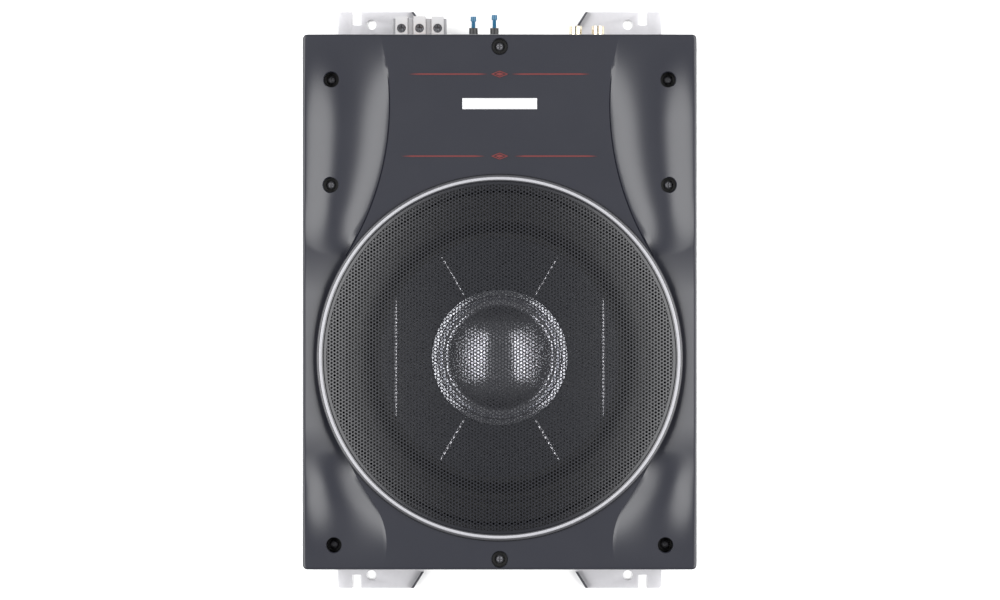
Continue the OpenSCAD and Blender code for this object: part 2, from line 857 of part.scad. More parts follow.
rca_shells();
rca_housing();
rca_contacts();
high_level_socket();
fuse_holder();
fuses();
power_led();
phase_switch_body();
phase_slider();
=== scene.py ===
"""A slim powered subwoofer for a car, finished piece by piece round its fixed frame.

The cast cover is one height field with its scoops, the grille is a perforated dome made by
Geometry Nodes, and the moving cone, shafts and clamps ride on the bodies of the frame.
"""

import json
import math

import bmesh
import bpy
import numpy as np
from mathutils import Matrix, Vector


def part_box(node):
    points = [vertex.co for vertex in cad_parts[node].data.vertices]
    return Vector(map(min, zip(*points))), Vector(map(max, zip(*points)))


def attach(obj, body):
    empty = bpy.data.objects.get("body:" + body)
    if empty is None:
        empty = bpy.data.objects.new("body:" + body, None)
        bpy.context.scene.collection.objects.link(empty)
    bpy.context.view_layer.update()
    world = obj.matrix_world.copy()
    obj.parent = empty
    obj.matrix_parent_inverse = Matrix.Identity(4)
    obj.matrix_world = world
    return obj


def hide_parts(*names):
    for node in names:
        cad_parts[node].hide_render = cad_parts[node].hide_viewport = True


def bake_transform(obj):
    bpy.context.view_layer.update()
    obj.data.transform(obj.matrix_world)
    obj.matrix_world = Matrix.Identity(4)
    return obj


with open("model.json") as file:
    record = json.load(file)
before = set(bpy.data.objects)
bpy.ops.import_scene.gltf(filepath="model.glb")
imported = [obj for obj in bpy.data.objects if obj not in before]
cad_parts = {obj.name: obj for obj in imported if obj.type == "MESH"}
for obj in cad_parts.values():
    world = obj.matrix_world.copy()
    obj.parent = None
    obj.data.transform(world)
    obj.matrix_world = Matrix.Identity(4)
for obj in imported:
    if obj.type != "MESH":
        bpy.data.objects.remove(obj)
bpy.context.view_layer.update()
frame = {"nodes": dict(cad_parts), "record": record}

bl_info = {
    "name": "Powered Subwoofer Maker",
    "version": (1, 0, 0),
    "blender": (4, 5, 0),
    "location": "View3D > Sidebar > Subwoofer",
    "description": "Makes the cover, grille, woofer, brackets and connectors of a slim powered subwoofer",
    "category": "Object",
}

MM = 0.001
CABINET = "cabinet"
CONE_BODY = "cone_assembly"
NODE_BODY = {n: b for b, names in frame["record"]["behaviour"]["bodies"].items() for n in names}


def islands(node):
    """Boxes of the separate solids in a CAD node, as (low, high) pairs."""
    bm = bmesh.new()
    bm.from_mesh(frame["nodes"][node].data)
    bmesh.ops.remove_doubles(bm, verts=bm.verts, dist=0.001 * MM)
    unseen = set(bm.verts)
    found = []
    while unseen:
        queue = [unseen.pop()]
        group = []
        while queue:
            vert = queue.pop()
            group.append(vert.co.copy())
            for edge in vert.link_edges:
                other = edge.other_vert(vert)
                if other in unseen:
                    unseen.remove(other)
                    queue.append(other)
        low = Vector([min(co[i] for co in group) for i in range(3)])
        high = Vector([max(co[i] for co in group) for i in range(3)])
        found.append((low, high))
    bm.free()
    return sorted(found, key=lambda box: (round(box[0].y, 4), round(box[0].x, 4)))


RING_LOW, RING_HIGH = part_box("trim_ring")
COVER_LOW, COVER_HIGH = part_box("top_cover")
WOOFER = Vector(((RING_LOW.x + RING_HIGH.x) / 2, (RING_LOW.y + RING_HIGH.y) / 2, 0))
RING_R = (RING_HIGH.x - RING_LOW.x) / 2
PANEL_Z = COVER_HIGH.z
HALF_W = COVER_HIGH.x


# ---- mesh helpers ----


def new_object(name, mesh):
    obj = bpy.data.objects.new(name, mesh)
    bpy.context.scene.collection.objects.link(obj)
    return obj


def mesh_object(name, verts, faces):
    """Object from points and faces, with its normals made to point outwards."""
    mesh = bpy.data.meshes.new(name)
    mesh.from_pydata([tuple(v) for v in verts], [], faces)
    bm = bmesh.new()
    bm.from_mesh(mesh)
    bmesh.ops.recalc_face_normals(bm, faces=bm.faces)
    bm.to_mesh(mesh)
    bm.free()
    return new_object(name, mesh)


def apply_modifiers(obj):
    """Swaps the object's mesh for the one its modifiers give, and clears them."""
    bpy.context.view_layer.update()
    deps = bpy.context.evaluated_depsgraph_get()
    mesh = bpy.data.meshes.new_from_object(obj.evaluated_get(deps))
    old = obj.data
    obj.modifiers.clear()
    obj.data = mesh
    mesh.name = obj.name
    if old.users == 0:
        bpy.data.meshes.remove(old)
    return obj


def smooth(obj, degrees=32):
    """Smooth shading with sharp edges kept above an angle."""
    obj.data.shade_smooth()
    obj.data.set_sharp_from_angle(angle=math.radians(degrees))
    return obj


def bevel(obj, width, segments=2, degrees=35):
    """Rounds the edges sharper than an angle."""
    mod = obj.modifiers.new("Bevel", "BEVEL")
    mod.width = width
    mod.segments = segments
    mod.limit_method = "ANGLE"
    mod.angle_limit = math.radians(degrees)
    apply_modifiers(obj)
    return obj


def cut(obj, tool, operation="DIFFERENCE"):
    """Boolean with a tool object, which is then removed."""
    mod = obj.modifiers.new("Boolean", "BOOLEAN")
    mod.operation = operation
    mod.solver = "MANIFOLD"
    mod.object = tool
    apply_modifiers(obj)
    bpy.data.objects.remove(tool)
    return obj


def merge(name, objects):
    """Joins several mesh objects into one new object."""
    bm = bmesh.new()
    for obj in objects:
        bm.from_mesh(obj.data)
        bpy.data.objects.remove(obj)
    mesh = bpy.data.meshes.new(name)
    bm.to_mesh(mesh)
    bm.free()
    return new_object(name, mesh)


def lathe(name, profile, centre=WOOFER, segments=192, closed=True):
    """Turns a profile of (radius, height) points about an upright axis. A radius of 0 makes a pole."""
    verts = []
    rings = []
    for radius, height in profile:
        if radius < 1e-7:
            rings.append([len(verts)])
            verts.append((centre.x, centre.y, height))
            continue
        rings.append(list(range(len(verts), len(verts) + segments)))
        for k in range(segments):
            a = 2 * math.pi * k / segments
            verts.append((centre.x + radius * math.cos(a), centre.y + radius * math.sin(a), height))
    faces = []
    pairs = list(zip(rings, rings[1:]))
    if closed:
        pairs.append((rings[-1], rings[0]))
    for low, high in pairs:
        for k in range(segments):
            n = (k + 1) % segments
            face = [low[k % len(low)], low[n % len(low)], high[n % len(high)], high[k % len(high)]]
            face = list(dict.fromkeys(face))
            if len(face) > 2:
                faces.append(face)
    return mesh_object(name, verts, faces)


def block(name, low, high):
    """Plain box, used as a boolean tool or as the start of a bevelled piece."""
    bm = bmesh.new()
    bmesh.ops.create_cube(bm, size=1)
    size = [h - l for l, h in zip(low, high)]
    middle = [(h + l) / 2 for l, h in zip(low, high)]
    bmesh.ops.scale(bm, vec=size, verts=bm.verts)
    bmesh.ops.translate(bm, vec=middle, verts=bm.verts)
    mesh = bpy.data.meshes.new(name)
    bm.to_mesh(mesh)
    bm.free()
    return new_object(name, mesh)


def drum(name, x, y, radius, z0, z1, segments=64):
    """Plain upright cylinder."""
    return lathe(name, [(0, z0), (radius, z0), (radius, z1), (0, z1)], Vector((x, y, 0)), segments, False)


def plate(name, loops, z0, z1, edge=0.0):
    """Flat plate from closed loops of (x, y) points, with its edges rounded. Inner loops are holes."""
    curve = bpy.data.curves.new(name, "CURVE")
    curve.dimensions = "2D"
    curve.fill_mode = "BOTH"
    curve.extrude = (z1 - z0) / 2 - edge
    curve.bevel_depth = edge
    curve.bevel_resolution = 2
    curve.offset = -edge
    for loop in loops:
        spline = curve.splines.new("POLY")
        spline.points.add(len(loop) - 1)
        for point, (x, y) in zip(spline.points, loop):
            point.co = (x, y, 0, 1)
        spline.use_cyclic_u = True
    source = bpy.data.objects.new(name + "_curve", curve)
    bpy.context.scene.collection.objects.link(source)
    bpy.context.view_layer.update()
    deps = bpy.context.evaluated_depsgraph_get()
    mesh = bpy.data.meshes.new_from_object(source.evaluated_get(deps))
    bpy.data.objects.remove(source)
    mesh.transform(Matrix.Translation((0, 0, (z0 + z1) / 2)))
    bm = bmesh.new()
    bm.from_mesh(mesh)
    bmesh.ops.remove_doubles(bm, verts=bm.verts, dist=0.002 * MM)
    bmesh.ops.recalc_face_normals(bm, faces=bm.faces)
    bm.to_mesh(mesh)
    bm.free()
    return new_object(name, mesh)


def arc(cx, cy, radius, start, end, steps):
    """Points on an arc, angles in degrees."""
    turn = [math.radians(start + (end - start) * i / steps) for i in range(steps + 1)]
    return [(cx + radius * math.cos(a), cy + radius * math.sin(a)) for a in turn]


def finish_piece(obj, material, body=CABINET, nodes=(), degrees=32):
    """Gives a piece its material and shading, and ties it to its body and the nodes it stands for."""
    obj.data.materials.clear()
    obj.data.materials.append(material)
    if degrees:
        smooth(obj, degrees)
    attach(obj, body)
    if nodes:
        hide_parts(*nodes)
    return obj


def merged_copy(node, name):
    """Copy of a CAD node with its triangles joined and its flat faces made whole."""
    bm = bmesh.new()
    bm.from_mesh(frame["nodes"][node].data)
    bmesh.ops.remove_doubles(bm, verts=bm.verts, dist=0.001 * MM)
    bmesh.ops.dissolve_limit(bm, angle_limit=math.radians(1), verts=bm.verts, edges=bm.edges)
    mesh = bpy.data.meshes.new(name)
    bm.to_mesh(mesh)
    bm.free()
    return new_object(name, mesh)


def soften(node, material, width=0.2 * MM):
    """Stands a copy of a CAD node, merged and with its edges rounded, in its place."""
    obj = bevel(merged_copy(node, node + "_piece"), width)
    return finish_piece(obj, material, NODE_BODY[node], nodes=(node,), degrees=20)


def paint_node(node, material):
    """Gives a carried-over CAD node its finish."""
    data = frame["nodes"][node].data
    data.materials.clear()
    data.materials.append(material)


# ---- shader node groups ----


def add_node(tree, kind, **values):
    node = tree.nodes.new(kind)
    for key, value in values.items():
        setattr(node, key, value)
    return node


def math_node(tree, operation, a, b):
    node = add_node(tree, "ShaderNodeMath", operation=operation)
    for socket, value in zip(node.inputs, (a, b)):
        if isinstance(value, bpy.types.NodeSocket):
            tree.links.new(value, socket)
        else:
            socket.default_value = value
    return node.outputs[0]


def group_tree(name, inputs, outputs):
    """Empty shader group with named sockets, with its input and output nodes."""
    tree = bpy.data.node_groups.new(name, "ShaderNodeTree")
    for label, kind in inputs:
        tree.interface.new_socket(label, in_out="INPUT", socket_type=kind)
    for label, kind in outputs:
        tree.interface.new_socket(label, in_out="OUTPUT", socket_type=kind)
    return tree, tree.nodes.new("NodeGroupInput"), tree.nodes.new("NodeGroupOutput")


FINISH_INPUTS = [
    ("Vector", "NodeSocketVector"),
    ("Color", "NodeSocketColor"),
    ("Second Color", "NodeSocketColor"),
    ("Scale", "NodeSocketFloat"),
    ("Roughness", "NodeSocketFloat"),
    ("Spread", "NodeSocketFloat"),
]
FINISH_OUTPUTS = [
    ("Color", "NodeSocketColor"),
    ("Roughness", "NodeSocketFloat"),
    ("Height", "NodeSocketFloat"),
]


def finish_group(name, pattern, cloud_share=0.12):
    """Group that varies colour, roughness and height by a pattern over a slow cloud of soiling."""
    tree, inlet, outlet = group_tree(name, FINISH_INPUTS, FINISH_OUTPUTS)
    links = tree.links
    height = pattern(tree, inlet)
    cloud = add_node(tree, "ShaderNodeTexNoise")
    cloud.inputs["Detail"].default_value = 3
    links.new(inlet.outputs["Vector"], cloud.inputs["Vector"])
    links.new(math_node(tree, "MULTIPLY", inlet.outputs["Scale"], cloud_share), cloud.inputs["Scale"])
    blend = math_node(tree, "MULTIPLY", math_node(tree, "ADD", height, cloud.outputs["Fac"]), 0.5)
    colour = add_node(tree, "ShaderNodeMix", data_type="RGBA")
    links.new(blend, colour.inputs["Factor"])
    links.new(inlet.outputs["Color"], colour.inputs["A"])
    links.new(inlet.outputs["Second Color"], colour.inputs["B"])
    links.new(colour.outputs["Result"], outlet.inputs["Color"])
    offset = math_node(tree, "SUBTRACT", blend, 0.5)
    shift = math_node(tree, "MULTIPLY", offset, inlet.outputs["Spread"])
    links.new(math_node(tree, "ADD", inlet.outputs["Roughness"], shift), outlet.inputs["Roughness"])
    links.new(height, outlet.inputs["Height"])
    return tree


def grain_pattern(tree, inlet):
    """Fine speckle of a sprayed or cast surface."""
    noise = add_node(tree, "ShaderNodeTexNoise")
    noise.inputs["Detail"].default_value = 5
    noise.inputs["Roughness"].default_value = 0.65
    tree.links.new(inlet.outputs["Vector"], noise.inputs["Vector"])
    tree.links.new(inlet.outputs["Scale"], noise.inputs["Scale"])
    return noise.outputs["Fac"]


def brushed_pattern(tree, inlet):
    """Long scratches along X."""
    stretch = add_node(tree, "ShaderNodeMapping")
    stretch.inputs["Scale"].default_value = (0.03, 1.0, 1.0)
    noise = add_node(tree, "ShaderNodeTexNoise")
    noise.inputs["Detail"].default_value = 6
    noise.inputs["Roughness"].default_value = 0.7
    tree.links.new(inlet.outputs["Vector"], stretch.inputs["Vector"])
    tree.links.new(stretch.outputs["Vector"], noise.inputs["Vector"])
    tree.links.new(inlet.outputs["Scale"], noise.inputs["Scale"])
    return noise.outputs["Fac"]


def weave_pattern(tree, inlet):
    """Crossed threads."""
    waves = []
    for direction in ("X", "Y"):
        wave = add_node(tree, "ShaderNodeTexWave", bands_direction=direction)
        wave.inputs["Distortion"].default_value = 0.6
        tree.links.new(inlet.outputs["Vector"], wave.inputs["Vector"])
        tree.links.new(inlet.outputs["Scale"], wave.inputs["Scale"])
        waves.append(wave.outputs["Fac"])
    return math_node(tree, "MAXIMUM", *waves)


def winding_pattern(tree, inlet):
    """Even turns of wire stacked along Z."""
    wave = add_node(tree, "ShaderNodeTexWave", bands_direction="Z")
    wave.inputs["Distortion"].default_value = 0.15
    tree.links.new(inlet.outputs["Vector"], wave.inputs["Vector"])
    tree.links.new(inlet.outputs["Scale"], wave.inputs["Scale"])
    return wave.outputs["Fac"]


def spangle_pattern(tree, inlet):
    """Soft crystals of zinc plate, with a little fine grain in them."""
    cells = add_node(tree, "ShaderNodeTexVoronoi", feature="SMOOTH_F1")
    noise = add_node(tree, "ShaderNodeTexNoise")
    noise.inputs["Detail"].default_value = 4
    for node in (cells, noise):
        tree.links.new(inlet.outputs["Vector"], node.inputs["Vector"])
        tree.links.new(inlet.outputs["Scale"], node.inputs["Scale"])
    both = math_node(tree, "ADD", cells.outputs["Distance"], noise.outputs["Fac"])
    return math_node(tree, "MULTIPLY", both, 0.6)


PATTERNS = {
    "grain": grain_pattern,
    "brushed": brushed_pattern,
    "weave": weave_pattern,
    "winding": winding_pattern,
    "spangle": spangle_pattern,
}


def pattern_group(kind):
    name = "Finish " + kind
    return bpy.data.node_groups.get(name) or finish_group(name, PATTERNS[kind])


def dust_group():
    """Group that lays a thin film of dust on whatever faces up."""
    found = bpy.data.node_groups.get("Dust Film")
    if found:
        return found
    tree, inlet, outlet = group_tree(
        "Dust Film",
        [("Vector", "NodeSocketVector"), ("Color", "NodeSocketColor"), ("Amount", "NodeSocketFloat")],
        [("Color", "NodeSocketColor")],
    )
    noise = add_node(tree, "ShaderNodeTexNoise")
    noise.inputs["Scale"].default_value = 35
    noise.inputs["Detail"].default_value = 8
    tree.links.new(inlet.outputs["Vector"], noise.inputs["Vector"])
    geometry = add_node(tree, "ShaderNodeNewGeometry")
    split = add_node(tree, "ShaderNodeSeparateXYZ")
    tree.links.new(geometry.outputs["Normal"], split.inputs["Vector"])
    up = math_node(tree, "MAXIMUM", split.outputs["Z"], 0.0)
    mask = math_node(tree, "MULTIPLY", up, math_node(tree, "POWER", noise.outputs["Fac"], 2.0))
    amount = math_node(tree, "MULTIPLY", mask, inlet.outputs["Amount"])
    mix = add_node(tree, "ShaderNodeMix", data_type="RGBA")
    mix.inputs["B"].default_value = (0.32, 0.31, 0.3, 1)
    tree.links.new(amount, mix.inputs["Factor"])
    tree.links.new(inlet.outputs["Color"], mix.inputs["A"])
    tree.links.new(mix.outputs["Result"], outlet.inputs["Color"])
    return tree


def material(
    name, colour, second=None, rough=0.5, spread=0.15, metal=0.0, kind="grain", scale=900.0,
    bump=0.05, dust=0.0, coat=0.0, coat_rough=0.1, specular=0.5,
):
    """Procedural material: a finish group feeds the colour, roughness and bump of one Principled shader."""
    name += "_finish"
    found = bpy.data.materials.get(name)
    if found:
        return found
    mat = bpy.data.materials.new(name)
    mat.use_nodes = True
    tree = mat.node_tree
    tree.nodes.clear()
    links = tree.links
    shader = add_node(tree, "ShaderNodeBsdfPrincipled")
    output = add_node(tree, "ShaderNodeOutputMaterial")
    links.new(shader.outputs["BSDF"], output.inputs["Surface"])
    shader.inputs["Metallic"].default_value = metal
    shader.inputs["Coat Weight"].default_value = coat
    shader.inputs["Coat Roughness"].default_value = coat_rough
    shader.inputs["Specular IOR Level"].default_value = specular
    coords = add_node(tree, "ShaderNodeTexCoord")
    group = add_node(tree, "ShaderNodeGroup", node_tree=pattern_group(kind))
    links.new(coords.outputs["Object"], group.inputs["Vector"])
    second = second or [c * 0.7 for c in colour]
    group.inputs["Color"].default_value = (*colour, 1)
    group.inputs["Second Color"].default_value = (*second, 1)
    group.inputs["Scale"].default_value = scale
    group.inputs["Roughness"].default_value = rough
    group.inputs["Spread"].default_value = spread
    colour_out = group.outputs["Color"]
    if dust:
        film = add_node(tree, "ShaderNodeGroup", node_tree=dust_group())
        film.inputs["Amount"].default_value = dust
        links.new(coords.outputs["Object"], film.inputs["Vector"])
        links.new(colour_out, film.inputs["Color"])
        colour_out = film.outputs["Color"]
    links.new(colour_out, shader.inputs["Base Color"])
    links.new(group.outputs["Roughness"], shader.inputs["Roughness"])
    relief = add_node(tree, "ShaderNodeBump")
    relief.inputs["Strength"].default_value = bump
    relief.inputs["Distance"].default_value = 0.1 * MM
    links.new(group.outputs["Height"], relief.inputs["Height"])
    links.new(relief.outputs["Normal"], shader.inputs["Normal"])
    return mat


# ---- the object's own finishes ----


def cast_paint():
    colour = tuple(bpy.context.scene.sub_cabinet.paint)
    return material(
        "cast_cover_paint", colour, rough=0.36, spread=0.04, scale=1400, bump=0.012, dust=0.01,
    )


def black_steel():
    return material("black_powder_coat", (0.02, 0.02, 0.022), rough=0.5, scale=1800, bump=0.3)


def screw_black():
    return material("black_oxide", (0.14, 0.14, 0.15), (0.08, 0.08, 0.09), rough=0.4, metal=0.6, scale=2500)


def zinc_plate():
    return material(
        "zinc_plate", (0.48, 0.475, 0.495), (0.41, 0.405, 0.425), rough=0.45, spread=0.2, metal=0.3,
        kind="spangle", scale=420, bump=0.08,
    )


# Darker copy of the zinc plate: painted shade for the brackets' turned-up folds.
def shaded_zinc():
    return material(
        "shaded_zinc", (0.1, 0.1, 0.11), (0.06, 0.06, 0.07), rough=0.4, metal=0.8, kind="spangle", scale=420,
    )


def rim_grey():
    return material("ring_grey_paint", (0.045, 0.045, 0.05), rough=0.3, scale=1500, bump=0.08)


def bright_band():
    return material(
        "bright_band", (0.26, 0.26, 0.275), (0.23, 0.23, 0.245), rough=0.3, spread=0.06,
        scale=1200, bump=0.01, specular=0.35,
    )


def mesh_black():
    colour = tuple(bpy.context.scene.sub_grille.paint)
    return material("grille_black", colour, rough=0.34, spread=0.05, scale=2500, bump=0.012)


def badge_metal():
    return material(
        "badge_aluminium", (0.5, 0.5, 0.51), (0.42, 0.42, 0.43), rough=0.35, metal=0.3,
        kind="brushed", scale=2500, bump=0.1,
    )


def red_enamel():
    return material(
        "red_enamel", (0.09, 0.014, 0.014), (0.07, 0.01, 0.01), rough=0.5, scale=1500, specular=0.3,
    )


# Black foam for the gaskets, also used as painted shade on the floors of the cover's screw seats.
def foam_black():
    return material("foam_black", (0.015, 0.015, 0.015), rough=0.9, scale=2200, bump=0.8)


def raw_steel():
    return material(
        "raw_steel", (0.5, 0.5, 0.52), (0.38, 0.38, 0.4), rough=0.38, metal=1.0, kind="brushed", scale=900,
    )


def ferrite():
    return material("ferrite", (0.05, 0.05, 0.052), rough=0.75, scale=1400, bump=0.5)


def surround_rubber():
    return material("surround_rubber", (0.018, 0.018, 0.018), rough=0.55, scale=1600, bump=0.2)


def cone_silver():
    return material(
        "cone_silver", (0.03, 0.032, 0.038), (0.022, 0.024, 0.03), rough=0.42,
        kind="brushed", scale=500, bump=0.06, coat=0.15, coat_rough=0.3,
    )


def cap_silver():
    return material("cap_silver", (0.62, 0.63, 0.67), (0.5, 0.51, 0.55), rough=0.22, metal=0.95, scale=700)


# Bright silver for the cone's ribs: painted highlight standing in for the glints along the facet ridges.
def rib_bright():
    return material("rib_bright", (0.8, 0.8, 0.84), (0.66, 0.66, 0.7), rough=0.32, metal=1.0, scale=900)


def former_film():
    return material("former_film", (0.5, 0.33, 0.13), rough=0.35, scale=300)


def copper_wire():
    return material(
        "copper_wire", (0.8, 0.36, 0.16), (0.5, 0.2, 0.08), rough=0.28, metal=0.9,
        kind="winding", scale=520, bump=0.8,
    )


def spider_cloth():
    return material(
        "spider_cloth", (0.58, 0.4, 0.14), (0.4, 0.26, 0.08), rough=0.85, kind="weave", scale=350, bump=0.8,
    )


def phenolic():
    return material("phenolic", (0.42, 0.27, 0.12), (0.3, 0.18, 0.07), rough=0.55, kind="weave", scale=600)


def pvc_red():
    return material("pvc_red", (0.5, 0.03, 0.03), rough=0.42, scale=700)


def solder_mask():
    return material("solder_mask", (0.015, 0.17, 0.06), (0.01, 0.1, 0.04), rough=0.3, scale=260, coat=0.4)


def nylon():
    return material("nylon", (0.8, 0.79, 0.73), (0.7, 0.69, 0.62), rough=0.5, scale=900)


def mill_aluminium():
    return material(
        "mill_aluminium", (0.42, 0.42, 0.43), (0.34, 0.34, 0.35), rough=0.48, metal=0.8,
        kind="brushed", scale=1200, bump=0.05,
    )


def black_plastic():
    return material("black_plastic", (0.011, 0.011, 0.012), rough=0.45, scale=1800, bump=0.2)


def sleeve_blue():
    return material("sleeve_blue", (0.03, 0.04, 0.16), rough=0.25, scale=300, coat=0.5)


def grey_plastic():
    return material("grey_plastic", (0.27, 0.27, 0.28), (0.22, 0.22, 0.23), rough=0.42, scale=1500, bump=0.1)


def nickel():
    return material("nickel_plate", (0.5, 0.5, 0.51), (0.42, 0.42, 0.43), rough=0.4, metal=0.4, scale=1100)


def blue_plastic():
    return material("blue_plastic", (0.008, 0.1, 0.19), (0.006, 0.07, 0.14), rough=0.35, scale=1500)


def screw_steel():
    return material("screw_steel", (0.16, 0.16, 0.17), (0.09, 0.09, 0.1), rough=0.3, metal=0.8, scale=1800)


def gold_plate():
    return material("gold_plate", (0.66, 0.6, 0.47), (0.52, 0.46, 0.35), rough=0.24, metal=1.0, scale=1100)


def fuse_orange():
    return material("fuse_orange", (0.8, 0.28, 0.04), rough=0.25, scale=500, coat=0.4)


def led_lens():
    return material("led_lens", (0.08, 0.6, 0.14), rough=0.12, scale=400, coat=0.8)


# ---- top cover ----

# A hollow's lowest line, as a share of the way from the edge to the crease
VALLEY_SHARE = {"long": 0.52, "short": 0.54}
# How steeply a hollow climbs from that line to the crease
RISE_POWER = {"long": 2.3, "short": 1.9}
DEPTH_SHARE = {"long": 1, "short": 0.8}
SIDE_SPLIT_Y = -30 * MM
CREASE_C = (-247.1 * MM, 122.6 * MM)
CREASE_R = 177.4 * MM
LONG_END_C = (-100.4 * MM, 66 * MM)
LONG_END_R = 38 * MM
SHORT_C = (-115.2 * MM, -153.5 * MM)
SHORT_R = 44 * MM
SHORT_END_C = (-109.5 * MM, -122 * MM)
SHORT_END_R = 27.7 * MM
TROUGH_WIDTH = 30 * MM
LONG_TURN = 28 * MM
SHORT_TURN = -97.5 * MM
CREASE_STOPS = [(28, -97.0), (20, -93.0), (-90, -93.0), (-97.5, -97.3), (-131.4, -77.14)]
FACET_DROP = 5.0 * MM
FACET_SLOPE = 0.3
RIM_DROP = 0.4 * MM
CREASE_LIP = 0.3 * MM
OUTER_SKEW = 2.8
CORNER_R = 3 * MM
EDGE_OFFSETS = [0, 0.12, 0.3, 0.6, 1.0, 1.5, 2.2, 3.0]
ROW_STEP = 1.05 * MM
SIDE_STEPS = 42
PANEL_STEPS = 14
GROOVE_END_Y = 152 * MM
GROOVE_FADE = 24 * MM
GROOVE_DEPTH_SHARE = 0.8
COVER_HEAD_H = 2.3 * MM
CENTRE_SCREW_X = 50 * MM
SEAT_R = {"scoop": 4.8 * MM, "centre": 5.25 * MM}


def smoothstep(t):
    t = np.clip(t, 0, 1)
    return t * t * (3 - 2 * t)


def crease_x(y):
    """The x of the crease between the left side's hollows and the flat panel, at one y."""
    if y >= LONG_TURN:
        return CREASE_C[0] + math.sqrt(CREASE_R**2 - (y - CREASE_C[1]) ** 2)
    for (y0, x0), (y1, x1) in zip(CREASE_STOPS, CREASE_STOPS[1:]):
        if y >= y1 * MM:
            share = (y / MM - y0) / (y1 - y0)
            return (x0 + (x1 - x0) * share) * MM
    return SHORT_C[0] + math.sqrt(SHORT_R**2 - (y - SHORT_C[1]) ** 2)


def end_distance(dx, dy, radius):
    """How far inside a hollow's round end points lie, from their offsets across and past its centre."""
    inward_stretch = 0.45
    dx = np.where(dx > 0, inward_stretch * dx, dx)
    return radius - np.hypot(dx, max(0, dy)) + max(0, -dy)


def side_height(x, y, x_out, x_crease, depth):
    """Heights of the left side's hollows and facet, from the panel and so negative, over a row of x."""
    from_edge = x + HALF_W
    to_ring = HALF_W - math.sqrt(max(0, RING_R**2 - (y - WOOFER.y) ** 2))
    facet = -RIM_DROP - min(FACET_DROP, FACET_SLOPE * to_ring) * np.minimum(1, from_edge / to_ring)
    t = (x - x_out) / (x_crease - x_out)
    side = "long" if y > SIDE_SPLIT_Y else "short"
    share = VALLEY_SHARE[side]
    depth = depth * DEPTH_SHARE[side] * (1 - math.exp(-((x_crease - x_out) / TROUGH_WIDTH) ** 2))
    outer_t = np.clip(t / share, 0, 1)
    s_curve = 1 - (1 - outer_t) ** OUTER_SKEW * (1 + OUTER_SKEW * outer_t)
    bowl = 1 - (1 - outer_t) ** 2
    inner_t = np.clip((t - share) / (1 - share), 0, 1)
    rise = inner_t ** RISE_POWER[side]
    if side == "long":
        fade_end, fade_length = COVER_HIGH.y + 4 * MM, 62 * MM
        fade = float(smoothstep((fade_end - y) / fade_length))
        round_from, round_length = 30 * MM, 45 * MM
        rounding = smoothstep((y - round_from) / round_length)
        inside = end_distance(x - LONG_END_C[0], LONG_END_C[1] - y, LONG_END_R)
        past_turn = y - LONG_TURN
        reach = 30 * MM
    else:
        fade_end, fade_length = -167 * MM, 42 * MM
        fade = float(smoothstep((y - fade_end) / fade_length))
        round_from, round_length = -95 * MM, 25 * MM
        rounding = smoothstep((round_from - y) / round_length)
        inside = end_distance(x - SHORT_END_C[0], y - SHORT_END_C[1], SHORT_END_R)
        past_turn = SHORT_TURN - y
        reach = 26 * MM
    outer = rounding * s_curve + (1 - rounding) * bowl
    trough = np.where(
        t < share,
        -RIM_DROP * fade - (depth - RIM_DROP) * fade * outer,
        -depth * fade + (depth - CREASE_LIP) * fade * rise,
    )
    enter = np.clip(inside / reach, 0, 1)
    enter = 1 - (1 - enter) ** 2
    beside_crease = smoothstep((t - 0.6) / 0.4)
    turn_length = 16 * MM
    enter = np.maximum(enter, beside_crease * smoothstep(past_turn / turn_length))
    return facet + (trough - facet) * enter


def outline_gap(x, y):
    """Distance of points from the cover's rounded outline, inwards."""
    mid_y = (COVER_LOW.y + COVER_HIGH.y) / 2
    half_l = (COVER_HIGH.y - COVER_LOW.y) / 2
    qx = np.abs(x) - (HALF_W - CORNER_R)
    qy = np.abs(y - mid_y) - (half_l - CORNER_R)
    outside = np.hypot(np.maximum(qx, 0), np.maximum(qy, 0)) + np.minimum(np.maximum(qx, qy), 0)
    return CORNER_R - outside


def half_width_at(y):
    """Half width of the rounded outline at one y."""
    gap = min(COVER_HIGH.y - y, y - COVER_LOW.y)
    if gap >= CORNER_R:
        return HALF_W
    return HALF_W - CORNER_R + math.sqrt(max(0, CORNER_R**2 - (CORNER_R - gap) ** 2))


def cover_rows():
    """The y of each row of the cover's grid, close together at both ends."""
    low, high = COVER_LOW.y, COVER_HIGH.y
    near = [o * MM for o in EDGE_OFFSETS]
    count = int((high - low - 2 * near[-1]) / ROW_STEP)
    middle = [low + near[-1] + (high - low - 2 * near[-1]) * i / count for i in range(1, count)]
    return [low + o for o in near] + middle + [high - o for o in reversed(near)]


def cover_columns(y):
    """The x of each grid point of a row from left to right, and how many lie on the left side's hollows."""
    props = bpy.context.scene.sub_cabinet
    edge = -half_width_at(y)
    crease = crease_x(y)
    near = [edge + o * MM for o in EDGE_OFFSETS]
    side = near + [near[-1] + (crease - near[-1]) * i / SIDE_STEPS for i in range(1, SIDE_STEPS + 1)]
    groove = [crease + props.groove_width * k for k in (0.5, 1.0)]
    left = side + groove
    middle = [groove[-1] + (-2 * groove[-1]) * i / PANEL_STEPS for i in range(1, PANEL_STEPS)]
    return np.array(left + middle + [-v for v in reversed(left)]), len(side)


